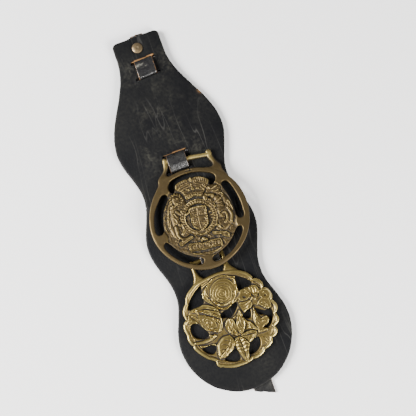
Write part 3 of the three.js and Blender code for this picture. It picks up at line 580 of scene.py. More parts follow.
class Tree:
    """A Geometry Nodes tree with named inputs, applied to an object and turned into a plain mesh."""

    def __init__(self, name, inputs):
        self.group = bpy.data.node_groups.new(name, "GeometryNodeTree")
        socket = self.group.interface.new_socket
        socket(name="Geometry", in_out="INPUT", socket_type="NodeSocketGeometry")
        kinds = {float: "NodeSocketFloat", int: "NodeSocketInt"}
        for key, value in inputs.items():
            kind = kinds.get(type(value), "NodeSocketMaterial")
            made = socket(name=key, in_out="INPUT", socket_type=kind)
            if kind != "NodeSocketMaterial":
                made.default_value = value
        socket(name="Geometry", in_out="OUTPUT", socket_type="NodeSocketGeometry")
        self.given = self.group.nodes.new("NodeGroupInput").outputs
        self.result = self.group.nodes.new("NodeGroupOutput").inputs[0]
        self.graph = Graph(self.group)

    def close(self, geometry, material):
        """Ends the tree: instances made real, then the material set."""
        real = self.graph.node("GeometryNodeRealizeInstances", {0: geometry}).outputs[0]
        finish = self.graph.node("GeometryNodeSetMaterial", {"Geometry": real, "Material": material})
        self.graph.feed(self.result, finish.outputs[0])

    def plain_mesh(self, carrier, values, name):
        """Runs the tree on a carrier object and gives the result as a mesh of its own."""
        modifier = carrier.modifiers.new("tree", "NODES")
        modifier.node_group = self.group
        for item in self.group.interface.items_tree:
            if item.in_out == "INPUT" and item.name in values:
                modifier[item.identifier] = values[item.name]
        evaluated = carrier.evaluated_get(bpy.context.evaluated_depsgraph_get())
        mesh = bpy.data.meshes.new_from_object(evaluated)
        mesh.name = name
        carrier.modifiers.remove(modifier)
        bpy.data.objects.remove(carrier)
        return mesh


def path_object(name, points):
    """A carrier with one poly curve through points given in millimetres."""
    data = bpy.data.curves.new(name, "CURVE")
    data.dimensions = "3D"
    spline = data.splines.new("POLY")
    spline.points.add(len(points) - 1)
    for point, place in zip(spline.points, points):
        point.co = (*(value * MM for value in place), 1)
    carrier = bpy.data.objects.new(name, data)
    bpy.context.collection.objects.link(carrier)
    return carrier


def strap_tree():
    """Sweeps a flat band with rounded edges along the path, and crumples it where it stands in a loop."""
    width, thickness = STRAP_WIDTH * MM, STRAP_THICKNESS * MM
    inputs = {"Width": width, "Thickness": thickness, "Edge Radius": 0.0005, "Crumple": 0.0003, "Finish": None}
    tree = Tree("threaded_strap", inputs)
    g, given = tree.graph, tree.given
    path = g.node("GeometryNodeResampleCurve", {"Curve": given[0], "Length": 0.0005}, mode="LENGTH")
    tangent = g.node("GeometryNodeInputTangent").outputs[0]
    across = g.node("ShaderNodeVectorMath", {0: tangent, 1: (1, 0, 0)}, operation="CROSS_PRODUCT").outputs[0]
    turned = g.node("GeometryNodeSetCurveNormal", {"Curve": path.outputs[0]}, mode="FREE")
    g.feed(turned.inputs["Normal"], across)
    band = g.node("GeometryNodeCurvePrimitiveQuadrilateral", {"Width": given["Thickness"]})
    g.feed(band.inputs["Height"], given["Width"])
    soft = g.node("GeometryNodeFilletCurve", {"Curve": band.outputs[0]}, mode="POLY")
    g.feed(soft.inputs["Radius"], given["Edge Radius"])
    soft.inputs["Count"].default_value = 3
    fine = g.node("GeometryNodeResampleCurve", {"Curve": soft.outputs[0], "Length": 0.00045}, mode="LENGTH")
    swept = g.node("GeometryNodeCurveToMesh", {"Curve": turned.outputs[0], "Profile Curve": fine.outputs[0]})
    swept.inputs["Fill Caps"].default_value = True
    place = g.node("GeometryNodeInputPosition").outputs[0]
    warped = g.node("ShaderNodeVectorMath", {0: place, 1: (0.6, 1, 0.5)}, operation="MULTIPLY").outputs[0]
    lumps = g.node("ShaderNodeTexNoise", {"Vector": warped, "Scale": 260.0, "Detail": 1.0}).outputs[0]
    height = g.node("ShaderNodeSeparateXYZ", {0: place}).outputs[2]
    raised = g.spread(height, 0.0045, 0.007)
    push = g.math("MULTIPLY", g.math("MULTIPLY", g.math("SUBTRACT", lumps, 0.5), raised), given["Crumple"])
    push = g.math("MULTIPLY", push, 4.0)
    offset = g.node("ShaderNodeCombineXYZ", {1: push, 2: push}).outputs[0]
    moved = g.node("GeometryNodeSetPosition", {"Geometry": swept.outputs[0], "Offset": offset})
    tree.close(moved.outputs[0], given["Finish"])
    return tree


def strap_material():
    material, g, shader = material_graph("strap_leather")
    leather = g.node("ShaderNodeGroup", node_tree=LEATHER)
    g.feed(leather.inputs["Dye"], (0.006, 0.006, 0.007))
    # This lighter colour is used for rubbed wear and for the painted reflections on the loops.
    g.feed(leather.inputs["Scuff And Sheen"], (0.16, 0.155, 0.13))
    g.feed(leather.inputs["Scuffing And Sheen"], g.mark("scuffs_and_sheen"))
    g.feed(leather.inputs["Cut"], g.mark("raw"))
    g.feed(leather.inputs["Polish"], 0.75)
    g.feed(leather.inputs["Grain Scale"], 1100.0)
    g.feed(shader.inputs["Base Color"], leather.outputs["Color"])
    g.feed(shader.inputs["Roughness"], leather.outputs["Roughness"])
    shader.inputs["Specular IOR Level"].default_value = 0.5
    creases = g.math("MULTIPLY", g.noise(220.0, 4.0, 0.65, 0.8), 1.4)
    height = g.math("ADD", leather.outputs["Height"], creases)
    g.feed(shader.inputs["Normal"], g.bump(height, 0.5, 0.0003))
    return material


def strap():
    carrier = path_object("strap_path", [(0, y, z) for y, z in strap_path()])
    finish = strap_material()
    mesh = strap_tree().plain_mesh(carrier, {"Finish": finish}, "threaded_strap_skin")
    points = np.empty(len(mesh.vertices) * 3, np.float32)
    mesh.vertices.foreach_get("co", points)
    x, y, z = points.reshape(-1, 3).T.astype(float) / MM
    top, tail = y > 150, y < -145
    x, y = x + strap_drift(y), y + x * strap_slew(y)
    y = np.where(top, 150 + (torn_edge(x) - 150) * (y - 150) / (TORN_Y - 150), y)
    y = np.where(tail, -145 + (tail_edge(x) + 145) * (y + 145) / (TAIL_Y + 145), y)
    z = np.clip(z + 0.1 * smoothstep((y - 150) / 5) * soft_noise(x, y, 1.1, 14), 0.02, 10.75)
    mesh.vertices.foreach_set("co", (np.stack([x, y, z], 1) * MM).astype(np.float32).ravel())
    mesh.update()
    edge = smoothstep((np.abs(x - strap_drift(y)) - 7.35) / 0.4)
    loose = (z > 5.5) & (y > 112)
    raw = np.where(loose, 0.75 * edge * (0.5 + 0.5 * soft_noise(x, y, 2.2, 15)), 0.2 * edge)
    raw = np.maximum(raw, 0.5 * smoothstep((y - 153.5) / 1.5) * (soft_noise(x, y, 0.7, 16) > 0.1))
    # Two pale bands across the loose top loop and one across the top of the second loop are painted reflections; the
    # rest of the strap gets a faint even rubbing.
    painted_reflection_bands = np.exp(-(((y - 127.3 - 0.12 * x) / 1.1) ** 2)) + 0.8 * np.exp(-(((y - 124.6 - 0.3 * x) / 0.6) ** 2))
    scuffs_and_sheen = np.where(loose, 1.6 * painted_reflection_bands, 0.15)
    middle = np.exp(-(((y - 42.5 + 0.3 * x) / 1.2) ** 2)) * (z > 7)
    scuffs_and_sheen = np.maximum(scuffs_and_sheen, 1.2 * middle)
    for mark, values in (("scuffs_and_sheen", scuffs_and_sheen), ("raw", raw)):
        attribute = mesh.attributes.new(mark, "FLOAT", "POINT")
        attribute.data.foreach_set("value", np.asarray(values, np.float32))
    piece = show("threaded_strap_leather", mesh, finish)
    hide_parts("threaded_strap")
    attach(piece, "root")


strap()

# ======================================================================================================
# Rivet
# A turned brass rivet whose low domed head has a small dimple. Its shank goes through both leathers, and
# its foot is spread in the back of the strap.


def brass_group():
    """Aged cast brass: clean metal, brown tarnish in hollows, and bright metal on rubbed edges and on marked parts,
    where that bright metal is partly real polish and partly painted highlight. Relief is how far a point stands
    above what lies round it, negative in a hollow."""
    inputs = {
        "Metal": (0.5, 0.36, 0.16),
        "Stain": (0.27, 0.18, 0.08),
        "Bright": (0.85, 0.68, 0.33),
        "Tarnish": (0.035, 0.025, 0.014),
        "Relief": 0.0,
        "Hollow": 0.25,
        "Edge": 0.3,
        "Staining": 0.4,
        "Rub": 1.0,
        "Wear And Highlight": 0.0,
        "Polish": 0.5,
    }
    outputs = {
        "Color": "NodeSocketColor",
        "Roughness": "NodeSocketFloat",
        "Metallic": "NodeSocketFloat",
        "Height": "NodeSocketFloat",
    }
    group, given, result = new_group("aged_brass", inputs, outputs)
    g = Graph(group)
    value = given.outputs
    relief = value["Relief"]
    clouds = g.noise(110.0, 5.0, 0.6, 0.4)
    speckle = g.noise(1100.0, 3.0, 0.6)
    patches = g.math("MULTIPLY", g.spread(clouds, 0.42, 0.68), value["Staining"], True)
    colour = g.mix(patches, value["Metal"], value["Stain"])
    depth = g.math("DIVIDE", relief, value["Hollow"])
    uneven = g.math("ADD", depth, g.spread(speckle, 0.3, 0.7, -0.25, 0.25))
    dark = g.spread(uneven, 0.05, -1.0)
    rise = g.math("DIVIDE", relief, value["Edge"])
    bright = g.spread(g.math("ADD", rise, g.spread(clouds, 0.3, 0.7, -0.2, 0.2)), 0.15, 1.0)
    # Marked parts are made bright too: partly real polish, partly painted highlight.
    bright = g.math("ADD", g.math("MULTIPLY", bright, value["Rub"]), value["Wear And Highlight"], True)
    colour = g.mix(bright, colour, value["Bright"])
    colour = g.mix(dark, colour, value["Tarnish"])
    g.feed(result.inputs["Color"], colour)
    rough = g.math("SUBTRACT", 0.62, g.math("MULTIPLY", value["Polish"], 0.42))
    rough = g.math("ADD", rough, g.math("MULTIPLY", patches, 0.12))
    rough = g.math("ADD", rough, g.math("MULTIPLY", dark, 0.3))
    rough = g.math("SUBTRACT", rough, g.math("MULTIPLY", bright, 0.1))
    rough = g.math("ADD", rough, g.spread(speckle, 0.3, 0.7, -0.04, 0.04), True)
    g.feed(result.inputs["Roughness"], rough)
    g.feed(result.inputs["Metallic"], g.math("SUBTRACT", 1.0, g.math("MULTIPLY", dark, 0.7)))
    pits = g.math("MULTIPLY", g.noise(520.0, 4.0, 0.6), 1.0)
    g.feed(result.inputs["Height"], g.math("ADD", pits, g.math("MULTIPLY", speckle, 0.4)))
    return group


BRASS = brass_group()


def brass_material(name, values, bump):
    material, g, shader = material_graph(name)
    metal = g.node("ShaderNodeGroup", node_tree=BRASS)
    g.feed(metal.inputs["Relief"], g.mark("relief"))
    # The second mark brings in painted highlight as well as real polish.
    g.feed(metal.inputs["Wear And Highlight"], g.mark("wear_and_highlight"))
    for socket, value in values.items():
        g.feed(metal.inputs[socket], value)
    g.feed(shader.inputs["Base Color"], metal.outputs["Color"])
    g.feed(shader.inputs["Roughness"], metal.outputs["Roughness"])
    g.feed(shader.inputs["Metallic"], metal.outputs["Metallic"])
    g.feed(shader.inputs["Normal"], g.bump(metal.outputs["Height"], bump, 0.0002))
    return material


def rivet():
    seat, spokes = BACK_HIGH + 0.15, 72
    arc = np.radians(np.linspace(0, 78, 14))
    profile = [(0, 0.1), (2.2, 0.1), (2.9, 0.2), (3, 0.4), (2.7, 0.56), (1.6, 0.75), (1.6, seat)]
    profile += [(4.35, seat), (4.55, seat + 0.1)]
    profile += [(4.55 * math.cos(a) ** 0.8, seat + 0.25 + 0.95 * math.sin(a)) for a in arc]
    profile += [(1.25, seat + 1.18), (0.95, seat + 0.95), (0.5, seat + 0.84), (0, seat + 0.82)]
    turns = np.linspace(0, 2 * math.pi, spokes, endpoint=False)
    points, faces, relief = [(RIVET_X, RIVET_Y, profile[0][1])], [], [0.0]
    for radius, z in profile[1:-1]:
        for turn in turns:
            dent = 0.05 * math.sin(3 * turn + 1) * (radius > 2) * (z > seat)
            points.append((RIVET_X + radius * math.cos(turn), RIVET_Y + radius * math.sin(turn), z - abs(dent)))
            relief.append(0.12 if 2 < radius < 4.2 and z > seat + 0.4 else (-0.12 if z > seat else -0.2))
    points.append((RIVET_X, RIVET_Y, profile[-1][1]))
    relief.append(-0.1)
    last = len(points) - 1
    for i in range(spokes):
        j = (i + 1) % spokes
        faces.append((0, 1 + j, 1 + i))
        for row in range(len(profile) - 3):
            a, b = 1 + row * spokes + i, 1 + row * spokes + j
            faces += [(a, b, b + spokes), (a, b + spokes, a + spokes)]
        faces.append((last, last - spokes + i, last - spokes + j))
    mesh = mesh_of("rivet_turned", np.array(points) * MM, np.array(faces))
    mesh.attributes.new("relief", "FLOAT", "POINT").data.foreach_set("value", np.array(relief, np.float32))
    finish = {
        "Metal": (0.16, 0.115, 0.055),
        "Stain": (0.1, 0.07, 0.034),
        "Bright": (0.3, 0.22, 0.13),
        "Hollow": 0.2,
        "Edge": 0.15,
        "Polish": 0.35,
    }
    piece = show("brass_rivet", mesh, brass_material("rivet_brass", finish, 0.25), 40)
    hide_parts("rivet")
    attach(piece, "root")


rivet()

# ======================================================================================================
# Crest brass
# A flat ring round a pierced disc, cast in one with its hanger. The disc bears a crowned shield inside a
# belt, between two rearing beasts on a scrolled mound. Its face is satin, and its hollows are dark brown.

CREST_PLACE = (2, -10.4, 6.1, 51.2, -6.45, 3.45)
CREST_TOP = 3.2
CREST_OUTLINE = "0,40.6 10,41 20,41.3 30,41.7 40,42 60,41.8 112,41.8 130,41.3 140,41 150,40.5 160,40.3 170,40.3 180,40.5 190,40.7 200,40.8 220,40.6 230,40.7 240,41 250,41.3 260,41.8 270,42 280,41.8 290,41.3 300,40.8 310,40.6 350,40.5 360,40.6"
CREST_SLOTS = (
    "-18.2,25.1 -19.3,27.2 -19.5,30 -18.2,32.9 -15.6,35 -7.9,37.4 0,38.2 7.9,37.4 15.6,35 18.4,33.1 19.8,31 19.4,28.4 17.9,26.1 15.9,25 14.2,25.5 13,27 8,31 0,32 -8,31 -14,27 -15.7,24.6 -17,24.2",
    "-22.1,23.7 -24.3,24.7 -27,23.5 -31,17.9 -34,12.4 -35.9,6.3 -36.7,0 -36.5,-4.5 -35.1,-6.8 -32.8,-7.3 -30.8,-6.3 -29.6,-3.9 -29.3,0 -28.6,5 -27.3,9.9 -25.1,14.5 -22.4,18.8 -21.5,21.2",
    "23.9,25 26.2,25.8 29,24.4 32,18.5 34,12.4 35.4,6.2 35.9,0 36,-3.8 34.9,-6.1 32.5,-6.7 30.5,-5.6 29.5,-3.1 29.3,0 28.7,5.1 27.7,10.1 26.3,15.2 24.1,20.2 23.2,22.9",
    "-31.2,-14.2 -32.3,-16.4 -31.4,-19.6 -28.5,-23.9 -24,-28.6 -18.8,-32.5 -12.8,-35.1 -7.8,-36.8 -4.8,-36.6 -3.3,-34.6 -4,-32.4 -6.6,-31 -10.7,-29.4 -15.6,-26.9 -20,-23.8 -23.9,-20.1 -27.4,-15.8 -29.3,-14.3",
    "3.6,-34.6 4.9,-36.6 7.8,-36.8 12.8,-35.1 18.7,-32.3 23.8,-28.3 28,-23.5 31.5,-18.2 32.3,-15 31,-12.9 28.5,-13.3 26.5,-15.3 23.4,-19.7 19.9,-23.7 15.6,-27 10.8,-29.6 6.7,-31.3 4.4,-32.7",
)
CREST_FIELD = "-17,30 -24.5,20 -28.5,10 -31,2 -31,-4 -28.6,-9.5 -29,-14.5 -25,-20.5 -20,-25.5 -13.5,-29.5 -8,-32 0,-31.4 8,-32 15,-30.5 21,-25.5 27,-18 29.5,-13.5 29,-9 30.6,-4 30.3,2 28.8,9 27,16 24,22 17,28 10,34 0,36 -10,34"
HANGER_LEGS = (
    "-20,52.4 -19.2,54.1 -17.5,54.4 -15.9,53.2 -15.6,50 -15.8,47 -17.5,43.5 -18.8,40.4 -17,38.8 -13.5,39.4 -14,36 -24,28 -29.4,28.4 -26.9,33 -26.2,37 -23.2,41.2 -20.4,45.4",
    "16.4,53 17.6,54.3 19.6,54.4 21.1,53.2 21.2,49 22.9,44.8 26.1,40.4 26.9,35.5 29.6,29.6 24,28 14,36 13,40 16.3,39.6 19.2,40 19.7,42.4 17,47.2 16.4,50",
)
CROWN_FAN = "-14,27.5 -12.9,30.8 -9.8,32.6 -4.6,33.6 0,34 5.8,33.7 10.4,32.1 14,29.2 13.4,26 8,20 0,18.6 -7,18 -9.6,21 -12.5,25"
MOUND_RIDGES = "-13.2,-26.8 -7,-28.6 0,-29.2 8,-28.6 14.2,-26.2 12.8,-28.2 7,-30.4 0,-31.2 -6,-30.6 -11.5,-29"


def strokes(text):
    """Lines of points written as x,y pairs, one line after each semicolon."""
    return [[tuple(map(float, point.split(","))) for point in line.split()] for line in text.split(";")]


def curve_through(points, closed=False, step=0.5):
    """A smooth line through a few points."""
    p = np.array(points, float)
    if closed:
        p = np.concatenate([p[-1:], p, p[:2]])
    else:
        p = np.concatenate([2 * p[:1] - p[1:2], p, 2 * p[-1:] - p[-2:-1]])
    pieces = []
    for a, b, c, d in zip(p, p[1:], p[2:], p[3:]):
        count = max(2, int(math.hypot(*(c - b)) / step) + 1)
        t = np.linspace(0, 1, count, endpoint=False)[:, None]
        bend = (2 * a - 5 * b + 4 * c - d) * t * t + (3 * b - a - 3 * c + d) * t**3
        pieces.append(0.5 * (2 * b + (c - a) * t + bend))
    return np.concatenate(pieces + [p[-2:-1]])


class Relief:
    """The height of a cast face over a grid, worked up with forms, ridges, grooves and beads."""

    def __init__(self, low, high, spacing):
        self.x, self.y = grid(low, high, spacing)
        self.spacing = spacing
        self.z = np.zeros(self.x.shape)

    def around(self, line, reach):
        corner = np.array((self.x[0, 0], self.y[0, 0]))
        size = self.x.shape[::-1]
        low = np.clip(((line.min(0) - reach - corner) / self.spacing).astype(int), 0, size)
        high = np.clip(((line.max(0) + reach - corner) / self.spacing).astype(int) + 2, 0, size)
        return slice(low[1], high[1]), slice(low[0], high[0])

    def near(self, line, reach):
        """Distance to a line and the share along it, over the part of the grid within reach of it."""
        here = self.around(line, reach)
        x, y = self.x[here], self.y[here]
        nearest, share = np.full(x.shape, 1e9), np.zeros(x.shape)
        for i, ((ax, ay), (bx, by)) in enumerate(zip(line, line[1:])):
            ex, ey = bx - ax, by - ay
            t = np.clip(((x - ax) * ex + (y - ay) * ey) / max(ex * ex + ey * ey, 1e-12), 0, 1)
            away = np.hypot(x - ax - t * ex, y - ay - t * ey)
            closer = away < nearest
            nearest = np.where(closer, away, nearest)
            share = np.where(closer, (i + t) / (len(line) - 1), share)
        return here, nearest, share

    def line(self, points, width, height, taper=0.6, closed=False):
        here, away, share = self.near(curve_through(points, closed), width)
        half = width * (1 - (0 if closed else taper) * np.abs(2 * share - 1) ** 3)
        self.z[here] += height * np.maximum(0, 1 - (away / half) ** 2)

    def ridges(self, width, height, text, taper=0.6):
        for points in strokes(text):
            self.line(points, width, height, taper)

    def grooves(self, width, depth, text, taper=0.6):
        self.ridges(width, -depth, text, taper)

    def limb(self, points, widths, crest, edge=2.2):
        """A rounded limb laid over what is there, its half width changing from end to end."""
        line = curve_through(points)
        here, away, share = self.near(line, max(widths) + 0.6)
        half = np.interp(share, np.linspace(0, 1, len(widths)), widths)
        self.lay(here, half - away, half, edge, crest)

    def form(self, points, edge, crest, shoulder=1.5, lip=0.0, lip_width=0.5, closed=True):
        """A form with a closed outline, laid over what is there, with a raised lip if it has one."""
        line = curve_through(points, True)
        here = self.around(line, 1.0)
        depth = polygon_depth(self.x[here], self.y[here], [tuple(p) for p in line])
        self.lay(here, depth, shoulder, edge, crest)
        if lip:
            rim = np.exp(-(((depth - 0.5 * lip_width) / lip_width) ** 2)) * (depth > -0.3)
            self.z[here] += lip * rim

    def lay(self, here, depth, shoulder, edge, crest):
        inset = np.clip(depth / shoulder, 0, 1)
        top = edge + (crest - edge) * np.sqrt(1 - (1 - inset) ** 2)
        below = self.z[here]
        shadow = 0.2 * np.exp(-((np.minimum(depth, 0) / 0.45) ** 2))
        inside = smoothstep((depth + 0.25) / 0.5)
        self.z[here] = (below - shadow) * (1 - inside) + top * inside

    def beads(self, radius, height, text):
        for points in strokes(text):
            for px, py in points:
                here = self.around(np.array([[px, py]]), radius + 0.3)
                away = np.hypot(self.x[here] - px, self.y[here] - py) / radius
                self.z[here] += height * np.sqrt(np.maximum(0, 1 - away**2))

    def chase(self, count, seed, inside, width=0.45, height=0.28, lengths=(1.4, 3.2)):
        """Short curved strokes scattered over part of the face, half of them cut and half of them raised."""
        dice = np.random.default_rng(seed)
        low, high = (self.x.min(), self.y.min()), (self.x.max(), self.y.max())
        for _ in range(count):
            px, py = dice.uniform(low, high)
            turn, bend = dice.uniform(0, 2 * math.pi), dice.uniform(-0.7, 0.7)
            reach, side = dice.uniform(*lengths) / 2, dice.choice((-1, 1))
            if inside(px, py):
                ends = [(px + t * reach * math.cos(turn + t * bend), py + t * reach * math.sin(turn + t * bend)) for t in (-1, 0, 1)]
                self.line(ends, width, side * height)

    def standing(self, size):
        """How far each point stands above the mean of a square round it, in millimetres."""
        reach = max(1, int(round(size / self.spacing / 2)))
        blurred = self.z
        for _ in range(2):
            for axis in (0, 1):
                pad = [(reach + 1, reach) if a == axis else (0, 0) for a in (0, 1)]
                total = np.cumsum(np.pad(blurred, pad, "edge"), axis)
                low = np.take(total, range(0, blurred.shape[axis]), axis)
                high = np.take(total, range(2 * reach + 1, blurred.shape[axis] + 2 * reach + 1), axis)
                blurred = (high - low) / (2 * reach + 1)
        return self.z - blurred


def capsule_depth(x, y, joints):
    """How far inside a chain of round-ended bars each point lies, and the bars' half width there."""
    depth, half = np.full(x.shape, -1e9), np.ones(x.shape)
    for (ax, ay, ar), (bx, by, br) in zip(joints, joints[1:]):
        ex, ey = bx - ax, by - ay
        t = np.clip(((x - ax) * ex + (y - ay) * ey) / (ex * ex + ey * ey), 0, 1)
        radius = ar + (br - ar) * t
        inside = radius - np.hypot(x - ax - t * ex, y - ay - t * ey)
        half = np.where(inside > depth, radius, half)
        depth = np.maximum(depth, inside)
    return depth, half


def crowned(depth, half, edge, crest):
    return edge + (crest - edge) * np.sqrt(np.clip(1 - (1 - depth / half) ** 2, 0, 1))


def cast_mesh(name, relief, depth, rounding, place, wear_and_highlight):
    """A closed mesh of a brass with a plain flat back, moved to where it hangs on the leather."""
    x, y = relief.x, relief.y
    ends, share, faces, rim = cut_sheet(depth, relief.spacing)
    used = np.unique(faces)
    number = np.zeros(len(ends), int)
    number[used] = np.arange(used.size)
    ends, share, faces, rim = ends[used], share[used], number[faces], number[rim]
    marks = relief.standing(2.2)
    round_off = rounding * (1 - np.sqrt(1 - (1 - np.clip(depth, 0, rounding) / rounding) ** 2))
    front = relief.z - round_off

    def sampled(values):
        flat = values.ravel()
        return flat[ends[:, 0]] * (1 - share) + flat[ends[:, 1]] * share

    top = np.stack([sampled(x), sampled(y), sampled(front)], 1)
    edge = np.unique(rim)
    at_edge = np.zeros(len(top), int)
    at_edge[edge] = np.arange(edge.size)
    loop = at_edge[rim]
    flat = [Vector((float(px), float(py))) for px, py in top[edge, :2]]
    back = delaunay_2d_cdt(flat, [tuple(map(int, pair)) for pair in loop], [], 0, 1e-7)
    fill = np.array(back[2])
    source = np.array([original[0] if original else -1 for original in back[3]])
    fill = source[fill]
    middle = top[edge][fill].mean(1)
    column = np.clip(((middle[:, 0] - x[0, 0]) / relief.spacing), 0, x.shape[1] - 2)
    row = np.clip(((middle[:, 1] - y[0, 0]) / relief.spacing), 0, x.shape[0] - 2)
    i, j = row.astype(int), column.astype(int)
    u, v = column - j, row - i
    at_middle = (depth[i, j] * (1 - u) + depth[i, j + 1] * u) * (1 - v)
    at_middle += (depth[i + 1, j] * (1 - u) + depth[i + 1, j + 1] * u) * v
    fill = fill[at_middle > 0]
    n = len(top)
    under = np.concatenate([top[edge, :2], np.zeros((edge.size, 1))], 1)
    start, finish = rim[:, 0], rim[:, 1]
    walls = np.stack([n + loop[:, 0], n + loop[:, 1], finish], 1)
    walls = np.concatenate([walls, np.stack([n + loop[:, 0], finish, start], 1)])
    mesh = mesh_of(name, np.concatenate([top, under]), np.concatenate([faces, fill[:, ::-1] + n, walls]))
    standing = sampled(marks)
    for mark, at_front in (("relief", standing), ("wear_and_highlight", sampled(wear_and_highlight))):
        values = np.concatenate([at_front, np.zeros(edge.size)]).astype(np.float32)
        mesh.attributes.new(mark, "FLOAT", "POINT").data.foreach_set("value", values)
    px, py, bar_height, bar_y, turn, tilt = place
    tilted = math.radians(tilt)
    moved = Matrix.Translation((px, py, bar_height + bar_y * math.sin(tilted)))
    moved = moved @ Matrix.Rotation(math.radians(turn), 4, "Z") @ Matrix.Rotation(-tilted, 4, "X")
    mesh.transform(Matrix.Scale(MM, 4) @ moved)
    return mesh


def smooth_join(a, b, reach):
    """The outline of two shapes joined, with their inner corners filled in."""
    share = np.clip(0.5 + 0.5 * (a - b) / reach, 0, 1)
    return b + (a - b) * share + reach * share * (1 - share)


def outline_depth(r, text, reach=3.0):
    """How far inside a smooth closed outline each point lies, and -9 well outside it."""
    line = curve_through(strokes(text)[0], True)
    here = r.around(line, reach)
    depth = np.full(r.x.shape, -9.0)
    depth[here] = polygon_depth(r.x[here], r.y[here], [tuple(p) for p in line])
    return depth


def crest_blank():
    """The plain casting before its relief: how far inside it each point lies, and its smooth height."""
    r = Relief((-43, -43), (43, 55.5), 0.28)
    x, y = r.x, r.y
    top = CREST_TOP
    angle, radius = np.arctan2(y, x), np.hypot(x, y)
    turns, radii = np.array(strokes(CREST_OUTLINE)[0]).T
    outer = np.interp(np.degrees(angle) % 360, turns, radii)
    disc = outer - radius
    left = smoothstep((-6 - y - 0.6 * x) / 16)
    r.z[:] = top - 0.02 - left * 0.45 * np.clip((radius - 38.4) / 2.4, 0, 1) ** 2
    bar, half = capsule_depth(x, y, ((-17.7, 51, 1.75), (18.7, 50.4, 1.75)))
    raised = crowned(bar, half, 1.4, 2.58)
    for leg in HANGER_LEGS:
        depth = outline_depth(r, leg)
        ear = crowned(np.minimum(depth, 2.1), 2.1, 1.6, 2.6)
        ear = ear + (top - 0.15 - ear) * smoothstep((43 - y) / 6)
        raised = np.where(depth > 0, np.maximum(ear, np.where(bar > 0, raised, 0)), raised)
        bar = np.maximum(bar, depth)
    r.z = np.where((disc < 0) & (bar > 0), raised, r.z)
    disc = smooth_join(disc, bar, 0.8)
    for slot in CREST_SLOTS:
        disc = np.minimum(disc, -outline_depth(r, slot))
    for bridge in (CROWN_FAN, MOUND_RIDGES):
        disc = np.maximum(disc, outline_depth(r, bridge))
    return r, disc


def bar_depth(r):
    return capsule_depth(r.x, r.y, ((-17.7, 51, 1.75), (18.7, 50.4, 1.75)))[0]


def crest_crown(r):
    r.form(strokes("-14.9,27.6 -13,30.5 -9.8,32.3 -4.6,33.5 0,34 5.8,33.6 10.4,32.1 14,29.2 12.7,26 10.4,23.1 8.1,20.2 6.8,17.3 0,18.6 -6.9,16.8 -8.2,20.5 -10.4,23.7 -13.6,25.7")[0], 2.7, 3.3, 1.2)
    r.form(strokes("-14.7,28 -13,30.5 -9.8,32.1 -4.2,33.1 -3.4,30.1 -8.1,28.6 -12.4,25.9")[0], 3.2, 3.8, 0.7, 0.3, 0.4)
    r.form(strokes("1.8,33.2 5.8,33.4 10.4,32 13.8,29.4 12.3,26.1 8.7,28.2 4,29.2 1.7,29.5")[0], 3.2, 3.8, 0.7, 0.3, 0.4)
    r.grooves(0.45, 0.55, "2.8,33.1 3,29.6; 4.5,33.2 4.8,29.5; 6.2,32.9 6.4,29; 8,32.4 7.8,28.6; 9.7,31.8 9.1,27.9; 11.7,30.7 10.6,27.1")
    r.grooves(0.5, 0.5, "-13,27.6 -10.4,29.4 -7.5,30.6 -4.3,31.5")
    r.grooves(0.35, 0.35, "-11.6,30.1 -11,27.5; -9.8,31.1 -9.2,28.4; -8.1,31.7 -7.6,29.2; -6.2,32.3 -5.8,29.6")
    r.ridges(0.6, 0.55, "-12.7,25.3 -10.4,26.9 -6.9,28.2 -2.8,28.9; -11,23.7 -8.7,25.3 -5.2,26.6 -1.7,27.2; 1.2,29.2 4.6,28 8.1,26.3 10.4,23.7; 1.2,27.3 4,26.3 6.9,24.6 8.7,21.4")
    r.ridges(0.55, 0.45, "-9.5,22.3 -7.5,23.7 -5.8,23.1; -8.7,20.5 -6.9,21.4 -5.2,20.8; 8.7,23.1 6.9,22.5 5.5,23.1; 7.8,20.2 6.1,21.1 4.6,20.5")
    r.grooves(0.45, 0.5, "-8.7,26.9 -6.9,25.3 -6.6,23.7; -3.5,28 -2.4,25.7; 2.3,28.3 1.7,25.7; 6.6,25.3 5.3,23.7; -5.8,22 -3.5,22.7 0,23.1 3.5,22.7 6.1,21.7")
    r.form(strokes("-5.8,24.6 -4.3,25.7 -2.3,24 -3.8,22.8")[0], 3.5, 4.2, 0.6)
    r.form(strokes("-1.6,24.4 -0.3,26.7 1.3,24.4 0.6,23 -0.9,23")[0], 3.5, 4.3, 0.6)
    r.form(strokes("2,23.8 4,25.5 5.5,24.3 4,22.8")[0], 3.5, 4.2, 0.6)
    r.form(strokes("-0.6,30.1 1,31.5 0.6,33.1 -0.7,34 -1.8,32.9 -2.1,31.4")[0], 3.8, 4.8, 1.0)
    r.grooves(0.3, 0.4, "-1.7,31.8 0.7,31.8; -0.6,33.1 -0.6,30.3")
    r.beads(0.8, 0.9, "-0.6,28.4 -0.5,26.7 -0.6,33.8")
    r.form(strokes("-7.3,19.3 -3.5,20.9 0,21.5 4,20.9 7.1,19.3 6.1,16.5 0,18.1 -6.5,16.5")[0], 3.3, 3.7, 0.5)
    r.ridges(0.6, 0.5, "-6.9,19.3 -3.5,20.8 0,21.3 4,20.8 6.7,19.3; -6.4,16.9 -3.5,17.8 0,18.3 3.5,17.8 5.9,16.8")
    r.beads(0.75, 0.7, "-4.9,18.4 -3.4,19.1 -1.6,19.5 0,19.7 1.7,19.5 3.4,19.1 5,18.3")


